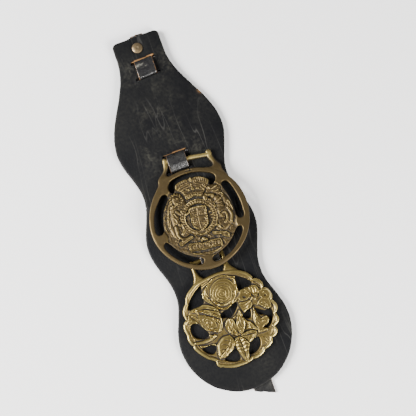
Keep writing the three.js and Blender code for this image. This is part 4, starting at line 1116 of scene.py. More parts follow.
def crest_belt(r):
    centre = strokes("0,0.6")[0][0]
    x, y = r.x - centre[0], r.y - centre[1]
    radius, angle = np.hypot(x, y), np.arctan2(y, x)
    band = smoothstep((radius - 10.9) / 0.5) * smoothstep((15 - radius) / 0.5)
    r.z = r.z * (1 - band) + 3.45 * band
    lips = np.exp(-(((radius - 11.3) / 0.42) ** 2)) + np.exp(-(((radius - 14.6) / 0.42) ** 2))
    r.z += 0.55 * lips
    bars = np.abs(np.sin(angle * 19)) ** 0.6 * np.exp(-(((radius - 12.9) / 1.0) ** 4))
    gap = smoothstep((np.abs(((np.degrees(angle) + 90 + 180) % 360) - 180) - 14) / 4)
    r.z += 0.55 * bars * gap
    r.z -= 0.5 * np.exp(-(((radius - 12.9) / 1.3) ** 4)) * (1 - bars) * gap


def crest_shield(r):
    r.form(strokes("-6.5,9.2 0,9.7 6.8,9.2 7.1,3.5 6.8,-4 5.3,-7.5 2.3,-9.8 0.1,-10.9 -2.3,-9.8 -5.2,-7.5 -6.6,-4 -6.8,3.5")[0], 3.4, 4.1, 0.8, 0.5, 0.45)
    r.ridges(0.75, 0.9, "-6.2,8.3 -3.5,8.8 0,9 3.5,8.8 6.6,8.3", 0.2)
    r.ridges(0.5, 0.5, "-0.1,8.1 -0.3,3.5 -0.5,0 -0.3,-5.2 0,-9.8; -6.1,0.5 -3.5,0.6 -0.5,0.7 2.9,0.6 6.6,0.5", 0.2)
    r.ridges(0.5, 0.55, "-5.2,6.4 -3.5,6.9 -1.7,6.2; -5.2,4.7 -3.8,5.3 -1.4,4.6; -4.9,2.9 -3.5,3.5 -1.4,2.8; -4.6,1.6 -1.7,1.6")
    r.form(strokes("0.6,5.8 2,6.5 3.4,5.5 3.5,3.5 2.3,2.2 0.7,2.6")[0], 3.7, 4.4, 0.7)
    r.grooves(0.35, 0.5, "1.2,4.6 3,4.7; 1.4,3.5 2.8,3.4")
    r.ridges(0.4, 0.5, "4.2,6.4 5.5,5.8 5.8,3.5 4.6,2")
    r.form(strokes("0.5,-0.1 4.6,-0.1 5,-2.9 0.7,-3")[0], 3.6, 4.2, 0.4, 0.4, 0.4)
    r.grooves(0.5, 0.7, "0.7,-1.4 1.2,-2.4; 4,-0.9 4,-2.6")
    r.ridges(0.45, 0.6, "-4.9,-0.6 -4.9,-4 -4.3,-5.8; -3.5,-0.5 -3.5,-5.8; -2,-0.5 -2,-5.8")
    r.grooves(0.4, 0.5, "-5.5,-2 -1.2,-2; -5.5,-4 -1.2,-4")
    r.ridges(0.6, 0.6, "-5.2,-6.2 -3.5,-7.5 -1.2,-8.4; 1.2,-8.4 3.5,-7.5 5.3,-5.8")
    r.beads(0.7, 0.7, "1.7,-4.5 3,-5.2 4.3,-4.5 2.3,-6.1 3.8,-6.5 5.5,-1.7 5.7,-3.5")
    r.beads(0.8, 0.6, "-3.5,-8.4 -1.7,-9.4 0,-9.8 1.7,-9.4 3.6,-8.4")


def crest_lion(r):
    r.form(strokes("-19.4,23.1 -12.1,23.7 -9.1,18.5 -7.6,13.3 -10.4,8.1 -9.8,3.5 -12.7,-1.2 -11.6,-5.8 -9.8,-11.6 -18.5,-14.7 -22.8,-11.6 -24.9,-5.8 -26.3,0 -25.3,8.1 -22.8,14.4 -20.7,18.5")[0], 2.0, 3.2, 3.5)
    r.ridges(0.6, 0.6, "-21.4,12.7 -19.1,9.8 -16.8,6.4; -20.3,14.7 -18.2,11.6 -15.6,8.1; -18.5,15 -16.5,12.7 -13.9,10.4; -21.4,9.2 -22.8,2.3 -24.3,-4.6; -22.5,12.1 -24,5.8 -24.9,0 -25.9,-4")
    r.limb(strokes("-18.5,11.6 -19.1,3.5 -18.5,-3.5")[0], (3.4, 3.8, 3.2), 4.3)
    r.ridges(0.5, 0.5, "-20.2,8.1 -18.5,6.4 -17.3,3.5; -20.7,4.6 -18.8,2.9 -17.8,0; -20.7,0.6 -19,-0.9 -18.2,-3.5")
    r.limb(strokes("-16.8,8.6 -12.7,5.1 -9.5,5.2 -6.6,6.4")[0], (1.9, 1.5, 1.1), 4.2)
    r.limb(strokes("-12.7,8.1 -12,3.5 -12.7,0.6 -13.9,-0.3")[0], (1.6, 1.4, 1.1), 4.0)
    r.limb(strokes("-16.5,-2.3 -13.6,-4 -13.6,-7.5 -15.6,-10.4")[0], (1.9, 1.9, 1.5), 4.3)
    r.limb(strokes("-19.4,-4 -19.2,-10.4 -16.8,-13.8 -13.6,-14.2")[0], (2.0, 1.6, 1.2), 4.2)
    r.grooves(0.4, 0.6, "-16.2,2.9 -14.7,0.6 -15.6,-2.3; -11.6,2.9 -10.4,0 -11,-3.5; -17.3,-5.2 -16.8,-8.7")
    head = strokes("-15.5,17.8")[0][0]
    for i in range(15):
        turn = math.radians(24 * i + 8)
        reach = 3.4 + (5.7 + 0.5 * math.sin(i * 2.3) - 3.4) * np.linspace(0, 1, 4)
        curl = turn + 0.28 * np.linspace(0, 1, 4) ** 1.5
        points = [(head[0] + a * math.cos(b), head[1] + a * math.sin(b)) for a, b in zip(reach, curl)]
        r.line(points, 0.85, 1.0, 0.7)
    r.form(strokes("-15.5,21.4 -12.7,20.1 -12.3,17.3 -13.6,14.4 -15.6,13.4 -17.5,14.6 -18.6,17.3 -18.2,20.1")[0], 3.6, 4.9, 2.0)
    r.form(strokes("-15.6,16.8 -14,15.9 -14.2,14 -15.6,13.2 -17.1,14 -17.1,15.9")[0], 4.5, 5.2, 1.0)
    r.grooves(0.4, 0.6, "-17.2,18.1 -16.2,17.8; -14.9,17.8 -13.8,18.1; -16.5,14.3 -15.6,14.8 -14.7,14.3")
    r.beads(0.6, 0.5, "-16.8,19 -14.3,19")
    r.form(strokes("-17.8,21.1 -18.1,23.6 -16.8,22.4 -15.6,24.2 -14.4,22.4 -13.1,23.6 -13.4,21.1 -15.6,21.6")[0], 3.8, 4.8, 0.7)
    r.ridges(0.55, 0.6, "-24.3,6.4 -26.3,7.2 -27.7,5.8 -27.5,3.5 -25.7,3 -24.9,4.3; -27.7,0.3 -28.3,-2.9 -26.6,-7.4; -27.2,10.4 -25.4,12.7 -24,15.6")


def crest_horse(r):
    r.form(strokes("10.4,23.1 16.2,25.4 21.1,23.1 22.5,17.3 25.4,13.3 27.7,6.9 28.3,0 26.6,-7.5 22.5,-11.6 16.2,-15 11.6,-11.6 13.3,-5.8 12.1,0 9.8,5.8 8.7,11.6 9.8,15.6")[0], 2.0, 3.2, 3.5)
    r.form(strokes("6.5,16.8 8.7,19 10.4,18.2 10.4,15 9.2,13.3 7.5,12.8 6.6,14.4")[0], 3.4, 4.6, 1.2)
    r.limb(strokes("9.8,17.3 13.3,16.2 16.5,13.9 17.9,10.4")[0], (1.3, 2.4, 3.2), 4.5)
    r.beads(1.1, -1.4, "11.7,14.9 16.5,16.1")
    r.ridges(0.5, 0.6, "11.3,25.3 12.7,23.1 14,21.3 17.1,22.4 19.1,23.1 20.9,24.3 21.4,20.1; 14.4,20.2 16.2,19.1 19.7,19.4; 18.5,17.3 21.1,16.8 23.1,15")
    r.limb(strokes("17.9,12.7 18.8,5.8 17.9,-1.2")[0], (3.2, 3.8, 3.0), 4.3)
    r.form(strokes("14.3,9.8 15.3,8.1 17.1,8 15.7,6.6 16.2,4.6 14.3,5.8 12.5,4.6 13,6.6 11.7,8 13.6,8.1")[0], 3.7, 4.8, 0.9)
    r.ridges(0.6, 0.6, "10.4,11.6 13.9,10.4 17.3,10.9 20.8,13 23.7,15.6; 9.8,3.5 12.1,4.6 15,3.5; 13.9,2.9 16.8,2 20.2,0.9; 22.5,10.4 26.6,8.1 25.5,3.5 27.7,0")
    r.limb(strokes("18.2,-2.3 19.2,0.5 21.8,0 22.5,-3.5 21.1,-6.4 19.7,-7.8")[0], (1.4, 1.5, 1.2), 4.3)
    r.limb(strokes("13.9,-1.7 12.7,-5.2 13.3,-8.7 16.2,-11.8")[0], (1.9, 1.6, 1.2), 4.2)
    r.limb(strokes("24.3,3.5 26.3,-2.3 24.9,-7.5")[0], (1.4, 1.5, 1.2), 4.0)
    r.ridges(0.55, 0.6, "12.1,-9.2 14.4,-8.7 16.2,-7.1 15,-10.4 14.4,-12.7; 23.1,-8.2 24.9,-8.7 26.6,-9.9; 22,-10.4 23.7,-11 25.5,-11.7; 24,8.1 24.9,5.8 24.3,3.5; 26.9,5.8 27.7,3.5 28.3,0.6")
    r.grooves(0.45, 0.7, "16.2,0 16.5,-3.5 15.6,-5.8; 20.5,-1.2 21.1,-3.5 20.2,-5.8; 10.4,8.1 11,6.4 10.4,4.6; 22,8.1 22.5,5.2; 17.9,8.1 21.4,8.8")
    r.beads(1.0, 0.7, "10.4,0.6 10.4,-1.7 10.7,-4 9.2,3.5")


def crest_mound(r):
    r.form(strokes("-19.8,-16.5 -14.4,-14.4 -9.1,-12.8 -8,-14.9 -13.3,-17.3 -18.5,-19.8")[0], 3.4, 4.4, 0.9, 0.3, 0.4)
    r.form(strokes("8,-13 13.3,-13.9 19,-15.1 19.8,-17.5 13.9,-16.8 8.6,-15.7")[0], 3.4, 4.4, 0.9, 0.3, 0.4)
    r.form(strokes("15,-17.5 20.2,-20.3 21.5,-17.3 19.7,-16.5")[0], 3.2, 4.0, 0.6)
    r.grooves(0.4, 0.5, "-18.5,-18.2 -13.9,-16.1 -8.7,-14.2; 9,-14.7 13.9,-15.5 19.1,-16.5")
    r.form(strokes("0.3,-15.5 1.8,-16.5 2,-18.2 0.5,-19.1 -1.3,-18.2 -1.3,-16.5")[0], 3.6, 4.8, 1.2)
    r.form(strokes("-1.3,-16.8 -2.6,-17.6 -2.3,-19.4 -0.9,-18.8")[0], 3.4, 4.0, 0.6)
    r.form(strokes("1.8,-16.8 3.4,-17.6 2.9,-19.4 1.5,-18.8")[0], 3.4, 4.0, 0.6)
    r.ridges(0.6, 0.7, "-3.8,-11.8 -1.7,-13 0.3,-13.4 2.3,-12.8 4.3,-11.7; -2.9,-14.2 -1.2,-14.7 0.3,-14.9 2.3,-14.4 4,-14; -8.1,-11.6 -6.4,-13.3 -4.6,-15; 5.8,-13.3 4.6,-15 4,-16.5")
    r.grooves(0.4, 0.5, "-2.6,-13 -2.9,-15.3; 4,-13 4.6,-14.7")
    r.form(strokes("-12.8,-19.4 -9.2,-19.1 -5.8,-19.2 0,-20 5.8,-19.2 9.8,-19.2 13.4,-19.7 13.6,-25.1 8.1,-25.5 0,-26.1 -6.9,-25.8 -12.6,-25")[0], 3.1, 3.7, 0.6, 0.4, 0.45)
    for i in range(10):
        px = 430 + 43.5 * i
        lift = 8 * math.sin(i * 1.7)
        half = (px - 620) * 0.0578
        top, low = (700 - 1062 - lift) * 0.0578, (700 - 1118 + lift) * 0.0578
        sway = 0.25 * math.sin(i * 2.1)
        r.line([(half - 0.7, top), (half + sway, top + 0.25), (half + 0.7, top - 0.2)], 0.5, 0.75)
        r.line([(half - 0.6 + sway, top), (half - 0.5, (top + low) / 2), (half - 0.7, low)], 0.45, 0.7)
        if i % 3:
            r.line([(half - 0.6, low), (half + 0.2, low + 0.3), (half + 0.7, low - 0.1)], 0.5, 0.7)
        if i % 2:
            r.line([(half + 0.7, top), (half + 0.6 - sway, low)], 0.45, 0.6)
    r.ridges(0.7, 0.75, "-12.8,-25.9 -6.9,-28 1.2,-28.7 9.2,-27.9 14,-25.3; -11,-27.6 -4.6,-29.4 1.2,-29.8 6.9,-29.2 12.3,-27.1", 0.3)
    r.ridges(0.45, 0.4, "-3.5,-30.3 1.2,-30.7 5.8,-30.2")


def crest_brass():
    r, depth = crest_blank()
    radius = np.hypot(r.x, r.y)
    field = smoothstep(outline_depth(r, CREST_FIELD) / 1.8)
    r.z -= 1.0 * field
    r.z += field * (0.2 * soft_noise(r.x, r.y, 1.5, 21) + 0.12 * soft_noise(r.x, r.y, 0.8, 22))
    crest_lion(r)
    crest_horse(r)
    crest_belt(r)
    crest_crown(r)
    crest_shield(r)
    crest_mound(r)
    in_field = lambda px, py: math.hypot(px, py * (0.86 if py > 0 else 0.97)) < 27.6
    tall = np.maximum(r.z - 3.0, 0)
    r.z -= 0.38 * tall
    r.chase(700, 26, in_field, 0.6, 0.22, (2, 4.5))
    # A shallow dent along the top of the ring and a short cut up from it, darkened further by the tarnish in hollows:
    # painted shade standing in for the shadow of the strap's end.
    r.line([(-3.2, 39.9), (0, 40.1), (2, 39.8)], 0.7, -0.6, 0.4)
    r.line([(0.4, 40), (1.2, 41.8)], 0.5, -0.8, 0.1)
    r.z += 0.04 * soft_noise(r.x, r.y, 2.5, 23) + 0.03 * field * soft_noise(r.x, r.y, 0.9, 24)
    r.z = np.minimum(r.z, 8.85 - (51.2 - r.y) * 0.0602)
    # Bright metal on the hanger ears and bar: partly real polish from handling and partly painted highlight.
    polish_and_highlight = 0.3 * smoothstep((r.y - 41) / 8) + 0.5 * smoothstep((bar_depth(r) + 0.4) / 0.6)
    mesh = cast_mesh("crest_casting", r, depth, 0.75, CREST_PLACE, polish_and_highlight)
    finish = {
        "Metal": (0.092, 0.066, 0.03),
        "Stain": (0.058, 0.04, 0.019),
        "Bright": (0.6, 0.46, 0.16),
        "Rub": 0.22,
        "Tarnish": (0.008, 0.006, 0.004),
        "Hollow": 0.5,
        "Edge": 0.5,
        "Staining": 0.7,
        "Polish": 0.4,
    }
    piece = show("crest_brass_casting", mesh, brass_material("tarnished_brass", finish, 0.35), 38)
    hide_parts("crest_brass")
    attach(piece, "root")


crest_brass()

# ======================================================================================================
# Flower brass
# A thinner and brighter casting: a scalloped ring with an open rose, a side rose, a bud, a five-petalled
# flower and leaves standing on a pierced plate. It hangs by a bar like the other, and lies under its ring.

FLOWER_PLACE = (0.5, -94.6, 5.9, 52, 3.3, 0)
FLOWER_PLATE = 2.0
FLOWER_OUTLINE = "0,37 3,36.2 5,36.8 8,37.8 11,38.1 14,38.2 17,37.9 20,37.1 22.5,36.1 25,37.5 28,38.3 31,38.5 34,38.3 37,37.7 40,36.8 43,37.9 46,38.6 50,39 66,39.3 72,38.9 82,38.6 100,38.6 110,40 116,40.5 128,40.6 134,40.3 138,39.2 141,38.7 145,39.2 150,39.3 154,38.6 157,37.5 160.5,36.4 163,37.6 166,38.7 170,38.9 175,38.3 179,37.9 182,38.3 185,38.7 190,38.2 193.5,37.5 197,38.2 200,38 205,37.6 212,37.1 218,36.8 223,36 228,35.9 231,38.6 235,39.2 238,38.5 241,38.6 250,38.3 256,38 262,37.4 270,36.9 274,36.4 277,36.1 281,36.8 287,37.2 292,36.9 297,36 301,36.9 305,37.4 309,37.5 312,36.6 314,35.9 316,36.8 319,37.8 322,38.2 325,37.8 327,36.6 329,35.4 332,36.6 335,37.9 338,38.2 341,37.6 344,36.4 345.5,35.9 348,37 351,38 354,38.3 357,37.9 360,37"
FLOWER_WINDOWS = (
    "-29.2,19.6 -26,25 -21,29.4 -16.6,32 -13,33.6 -14,29 -15.2,24.4 -15.6,20 -19.5,18.4 -24.5,18.6",
    "15.4,30 20.4,27.4 24.4,23.6 25.8,20.6 24.6,18.6 20.5,18.6 14.6,19 14.4,24",
    "-33,5.2 -31,7.4 -27.4,6.6 -24.4,3.2 -21.8,-1.6 -21,-4.4 -23,-6.6 -27,-6.4 -31.8,-3.6 -33.6,0.6",
    "-30,-13.2 -25.6,-12.9 -22,-13.2 -19.6,-15.4 -20.8,-19 -23.8,-20.3 -27.2,-18.6 -29.4,-16",
    "-16.8,-27.8 -12,-24.6 -7,-22.9 -5,-24 -4.6,-28 -5,-31.6 -8,-32.7 -12.6,-31",
    "5.4,-25 8,-21.9 13.8,-20.8 15.2,-23 14,-27.4 9.8,-30.8 4.6,-31.8 3,-29.8",
    "-7,6.4 -3,7.8 1,8 4.5,10.4 7.9,11 8.6,8 6,5 3,2.5 0,1.3 -4,2.4 -6.6,3.4",
    "9,-1 12.8,1.4 16.6,1.8 16.2,-1.6 14.5,-5 11.6,-4.2 9.6,-2.6",
    "20.2,1.2 24,-1.8 27.6,-3.8 31.4,-3.4 32.7,-6 31.6,-10.4 28.6,-14.8 25,-17 21.2,-15.6 25.2,-14.6 27.8,-11 26.4,-7.4 23,-5.8 21,-3",
)
FLOWER_LEGS = (
    "-15.4,51 -15,53.6 -12.8,54.4 -11.8,53 -12.2,48 -12,44.5 -10.8,41 -8.8,38.4 -9,35 -18,29 -25,28 -22,31.4 -18.4,36.4 -16.2,40.4 -15.3,45",
    "10.8,51 11.2,53.6 13,54.4 14.4,53 14.2,49 14.2,45 14.7,41.4 16.4,38.4 21,33 25,29 18,29 9,35 8.4,38 10,41 10.9,45",
)


def flower_blank():
    r = Relief((-40, -40), (40, 55.5), 0.26)
    x, y = r.x, r.y
    radius = np.hypot(x, y)
    disc = depth_of_rim(r)
    r.z[:] = FLOWER_PLATE
    lobe = np.sqrt(np.clip(1 - ((disc - 1.5) / 1.55) ** 2, 0, 1))
    band = smoothstep((disc - 2.9) / 0.3) * smoothstep((radius - 33.2) / 0.6)
    inner_line = np.exp(-(((radius - 34.7) / 0.35) ** 2))
    r.z += 1.1 * lobe + band * (0.55 - 0.45 * inner_line)
    bar, half = capsule_depth(x, y, ((-12.7, 52, 1.75), (12.7, 52, 1.75)))
    raised = crowned(bar, half, 1.5, 2.55)
    for leg in FLOWER_LEGS:
        depth = outline_depth(r, leg)
        ear = crowned(np.minimum(depth, 1.9), 1.9, 1.5, 2.6)
        raised = np.where(depth > 0, np.maximum(ear, np.where(bar > 0, raised, 0)), raised)
        bar = np.maximum(bar, depth)
    r.z = np.where((disc < 0.8) & (bar > 0), np.maximum(raised, np.where(disc > 0, r.z, 0)), r.z)
    disc = smooth_join(disc, bar, 0.8)
    for text in FLOWER_WINDOWS:
        disc = np.minimum(disc, -outline_depth(r, text))
    return r, disc


def depth_of_rim(r):
    turns, radii = np.array(strokes(FLOWER_OUTLINE)[0]).T
    return np.interp(np.degrees(np.arctan2(r.y, r.x)) % 360, turns, radii) - np.hypot(r.x, r.y)


def petal(r, text, edge, crest, shoulder=2.0, lip=0.45):
    for points in strokes(text):
        r.form(points, edge, crest, shoulder, lip, 0.4)


def flower_rim(r):
    for degrees in (40, 22.5, 3.4, -14.5, -31, -46, -63, -83, 160.5, 193.5):
        a = math.radians(degrees)
        r.line([(35.2 * math.cos(a), 35.2 * math.sin(a)), (37.6 * math.cos(a), 37.6 * math.sin(a))], 0.7, -0.5, 0.1)
    for low, high, deep in ((-30, -6, 0.5), (-62, -33, 0.3), (168, 190, 0.4), (205, 218, 0.3), (240, 257, 0.5)):
        turns = np.radians(np.linspace(low, high, 5))
        r.line([(33.9 * math.cos(t), 33.9 * math.sin(t)) for t in turns], 0.5, -deep)


def open_rose(r):
    petal(r, "-14,27.7 -9.4,31.1 -5.9,33.5 -2.4,35 2.2,35.4 6.8,34.7 10.9,32.4 16.4,29.8 15.5,25.4 14,20.2 13.2,15.6 8,11 3.9,9.8 -0.1,8.4 -3.6,9.2 -7.1,12.1 -9.9,15.6 -12.5,18.8 -14.9,22.5", 2.3, 3.1)
    petal(r, "-14.9,22.5 -14.6,26.6 -12.5,28.3 -9.4,30.9 -9.9,27.7 -11.4,23.7 -9.9,19.1 -8.2,15 -9.4,15.6 -12.5,18.8", 2.5, 3.6, 1.2)
    petal(r, "10.3,32.3 13.8,30.6 16.4,29.7 14.9,26.6 13.9,22.5 12.9,17.9 10.3,15.6 11.4,21.4 12,26.6", 2.5, 3.6, 1.2)
    petal(r, "-8.2,14.4 -3.6,11 1,10.1 5.1,12.1 8,15.6 6.8,11 3.4,9.7 -0.1,8.2 -3.6,9.1 -7.1,11.8", 2.6, 3.7, 1.0)
    petal(r, "-8.7,22.5 -7.1,27.2 -3.6,30.9 2.2,32.8 8,31.1 11.6,26.3 12.3,20.2 9.7,15 5.1,12.1 -0.1,11.4 -4.7,12.7 -7.9,16.2", 3.0, 3.9, 1.6)
    petal(r, "-7.1,22 -4.2,27.2 0.5,29.5 5.7,28 8.7,23.7 8.3,18.5 5.7,15 1,13.8 -3.6,15.6 -5.9,18.5", 3.4, 4.3, 1.3)
    petal(r, "-4.7,22.5 -1.8,26.3 2.2,27.2 5.7,25.1 6.8,21.1 5.1,17.3 1.6,15.6 -2.4,16.9 -4.2,19.1", 3.7, 4.6, 1.1)
    r.ridges(0.5, 0.5, "-2.7,22.5 -0.6,24.2 1.6,25.4 3.1,23.7 4.2,22 3.4,19.7 2.5,17.5 0.2,18.6 -2,20.1 -2.7,22.4; 0.5,23.1 2.1,22.5 2.2,20.7 0.6,20 -0.6,21.3; -8.7,22 -9,20.2 -8.6,18.4 -7.1,16.2; -7.1,15.6 -2.4,12.7 3.4,12.7 5.1,14.3")
    r.ridges(0.45, 0.45, "-3.6,34.7 -0.1,34.2 3.9,34.3 6.8,32.9; -11.7,28.3 -12.5,25.4 -11.7,22 -9.9,18.5; -10.8,29.5 -11.4,26.6 -10.2,22.5; 12,30.1 13.8,27.7 13.2,23.7; 9.7,15.6 10.9,17.9 11.6,20.2")
    r.grooves(0.45, 0.55, "-9.4,31.1 -7.1,32.4 -4.2,32.7; -7.6,12.7 -3.6,10.1 1,9.4 5.1,11; 7.4,16.2 8.3,17.9 8.8,20.2; -6.2,17.9 -3.6,15 -0.1,13.5")


def side_rose(r):
    petal(r, "-32.5,6.9 -32.2,12.1 -28.9,17.3 -25,18.5 -19.8,19.2 -16,18.4 -12.5,16.6 -7.9,12.7 -6.8,9.5 -7.1,2.9 -8.8,-2.9 -11.7,-6.1 -15.1,-5.5 -19.8,-2.3 -22.7,0 -24.9,5.7 -27.3,6.5", 2.3, 3.0)
    petal(r, "-28.9,17.2 -25,18.5 -19.8,19.1 -16,18.4 -12.5,16.5 -8.1,12.7 -7.1,9.5 -11.7,12.1 -16.3,15 -20.9,15.6 -25.5,15.6", 2.6, 3.7, 1.0)
    petal(r, "-22.1,15.6 -16.9,14.4 -11.7,11.6 -7.1,8.1 -7.3,3.5 -9.4,4.6 -14,8.7 -18.6,12.1", 2.8, 3.9, 1.0)
    petal(r, "-24.1,12.1 -19.8,11 -15.1,8.1 -9.9,3.5 -9.4,-1.2 -12.5,-5.5 -16.3,-4.3 -19.8,-1.2 -22.4,2.9 -24.1,7.5", 2.9, 3.8, 1.4)
    petal(r, "-21.4,8.1 -18.6,9.1 -15.1,7.5 -12.5,3.5 -12.8,-1.2 -15.7,-1.2 -19.2,1.2 -21.2,4.6", 3.3, 4.4, 1.0)
    r.ridges(0.5, 0.55, "-19.5,6.4 -18,7.2 -16,5.8 -15.1,3.5 -16.3,1.7 -18,2.3 -19.2,4 -18.3,5.2 -17.2,4.6; -20.3,3.5 -19.2,0.3 -16.3,-2 -13.4,-2.9; -14,6.4 -11.7,2.9 -10.8,-0.6; -11.1,2.3 -9.9,4 -9.4,1.7")
    r.ridges(0.5, 0.45, "-19.2,14.4 -15.1,12.1 -9.4,6.9; -15.1,15.6 -11.7,13.3 -8.8,11; -26.7,16.8 -24.4,15 -22.1,12.1; -29.6,14.4 -26.7,12.1 -24.4,8.7; -31.3,11 -28.4,9.2 -25.5,6.9; -25,17.3 -23.2,15 -19.8,13.9")
    r.beads(0.9, 0.7, "-23.2,16.6 -24.4,15.6 -22.1,15.6 -23.1,14.7")
    r.grooves(0.45, 0.55, "-21.2,14.7 -16.3,12.7 -11.7,9.5 -7.9,5.5; -23.8,6.4 -21.5,1.7 -18,-2 -14,-4.6; -30.7,15.6 -29,12.1 -26.7,9.5")


def middle_bud(r):
    petal(r, "-7.1,-5.8 -6.5,-2.9 -4.7,0 -2.4,0.9 0.2,0.3 5.1,1.7 8.3,4.3 9.4,0.6 10,-4.6 13.8,-8.1 16.4,-15.6 11.4,-13.3 6.8,-12.4 3.9,-14.2 -0.1,-14.4 -3.6,-11.8 -5.9,-9.2", 2.3, 3.0)
    petal(r, "9.7,-4.3 11.4,-6.4 13.8,-8.7 16.4,-15.9 13.2,-13.9 10.3,-12.1 8.3,-9.8", 2.4, 3.5, 0.9)
    petal(r, "-6.6,-5.2 -6.2,-2.3 -4.2,0.3 -1.6,0.7 -2.4,-2.9 -3.6,-6.4 -3,-10.4 -4.2,-10.4 -5.9,-8.1", 2.6, 3.8, 0.8)
    petal(r, "-1.6,0.6 0.8,-0.3 1.6,-4 1,-8.7 -0.1,-12.7 -2.4,-11 -3.6,-7.5 -2.9,-3.5", 2.9, 4.1, 0.9)
    petal(r, "8.3,4.3 9.4,0.6 9.7,-4.6 8.3,-8.7 6.2,-11.6 3.4,-13.9 1.6,-11.6 1,-8.1 2.2,-4.6 5.1,0.6", 2.9, 4.3, 1.1)
    r.ridges(0.5, 0.6, "-1.3,-1.2 -2.5,-4.6 -3.4,-8.1; 0,-1.4 -1.2,-5.2 -1,-8.7 -0.2,-11; 5.1,0.3 3.1,-4.6 2.9,-8.7 3.6,-11.6; 8.3,3.5 8,-2.3 9,-5.2 7.4,-9.8 4.8,-12.7; 5.1,-2.9 4,-6.1 5.1,-9.8; 6.7,-0.6 6,-4.6 6.8,-8.1")
    r.ridges(0.45, 0.5, "-4.2,-4 -4.7,-6.9 -3.6,-9.8 -1,-11.8; 10.9,-6.4 11.7,-8.7 11.4,-11.6; 12.6,-8.1 13.8,-11 14.3,-13.9; 9.7,-8.7 10.9,-11 11.2,-12.4")
    r.grooves(0.5, 0.6, "-4.2,-11.6 -0.1,-14.3 3.9,-13.8; -2.4,-2.9 -3.1,-6.9 -2.7,-10.4; 1.6,-1.2 1.7,-5.2 0.9,-9.2; 10,-5.2 9.1,-8.7 7.1,-11.6")


def five_petals(r):
    petal(r, "9.7,9.2 11.4,15 14.3,17.9 18.4,19.2 22.4,18.8 27.1,18 28.9,15 32.8,11 36.9,6.9 34,1.7 33.4,-2.9 29.9,-3.4 27.6,-1.2 24.2,2.3 19.5,3.8 15.5,1.7 11.4,1 10.2,4.6", 2.2, 2.9)
    petal(r, "11.3,14.7 13.8,17.8 18.4,19.1 22,18.4 22.4,14.4 20.7,11 17.2,9.2 13.2,9.8 11.2,12.1", 2.6, 3.6, 1.2)
    petal(r, "22.4,18.5 27.1,18 28.9,15 27.9,11 24.7,9.5 22.4,12.7", 2.6, 3.6, 1.2)
    petal(r, "9.8,9.2 14.3,8.7 19.5,8.1 19.2,3.5 14.9,1.6 11.4,1 10.2,4.6", 2.6, 3.6, 1.1)
    petal(r, "24.2,3.5 27.6,6.4 31.7,6.4 34,2.3 33.1,-2.8 29.9,-3.4 27.3,-1.2", 2.6, 3.6, 1.2)
    petal(r, "27.6,12.1 31.1,12.7 35.1,11 36.6,6.9 34,3.5 30.5,4.6 28.2,7.5", 2.6, 3.5, 1.2)
    r.ridges(0.55, 0.7, "21.3,12.7 21.2,9.8 20.1,8.1 16.1,6.4; 21.8,8.7 23.9,7.2 26,6.4; 20.6,12.1 21.8,9.8")
    r.grooves(1.2, 0.9, "14.9,12.7 16.9,11.4")
    r.grooves(0.7, 0.8, "27.6,11 26.9,9.1 25.9,8.1; 31.4,7.8 32.5,6.9")
    r.ridges(0.45, 0.4, "15.5,16.8 17.8,15.6 19.5,13.3; 18.4,17.9 19.5,15.6 20.7,13.3; 24.2,17.3 24.7,15 24.2,12.1; 26.5,16.8 26.8,14.4 25.9,12.1; 11.4,6.9 13.8,6.4 16.6,6.9; 11.4,4 14.3,4 17.2,5.5; 28.8,3.5 30.5,0.6 31.1,-2.3; 25.9,3.5 28.2,1.7 29.9,-1.2; 31.1,11 32.8,8.7 33.4,6.4")
    r.beads(1.1, 0.8, "21.8,9.5")


def small_flower(r):
    r.form(strokes("16.1,-15.6 15.5,-9.8 16.6,-5.2 18.7,-0.6 19.5,2.9 20.6,1.7 20.7,-2.9 22.4,-8.1 25.9,-8 28.2,-9.9 26.2,-13.9 22.4,-14.7 24.2,-17.3 25.9,-18.2 22.4,-19.1 18.4,-18.8 16.1,-18.5")[0], 2.3, 3.1, 1.4)
    r.ridges(0.55, 0.6, "19.8,2.9 18.8,-1.7 19.4,-5.2 19.5,-8.7; 22.4,-8.6 25.9,-8 28.2,-9.9 26,-13.8 22.5,-14.4; 20.7,-10.9 23,-10.4 24.7,-11.6; 17.2,-6.4 16.6,-11 17.8,-14.4; 18.4,-4 18.1,-8.7 19.5,-12.1")
    r.ridges(0.4, 0.35, "16.4,-16.8 19.5,-17.6 23,-17.5; 16.6,-18.2 20.7,-18.8 24.7,-18.4; 17.2,-22 19.5,-24.3 21.3,-27.2; 17.2,-24.9 19,-27.2 19.5,-28.9")


def leaf(r, outline, rib, veins, edge, crest):
    """A leaf laid over what is there, its rib and side veins cut into it."""
    r.form(strokes(outline)[0], edge, crest, 2.2, 0.45, 0.4)
    r.grooves(0.55, 0.7, rib, 0.4)
    r.grooves(0.4, 0.4, veins)


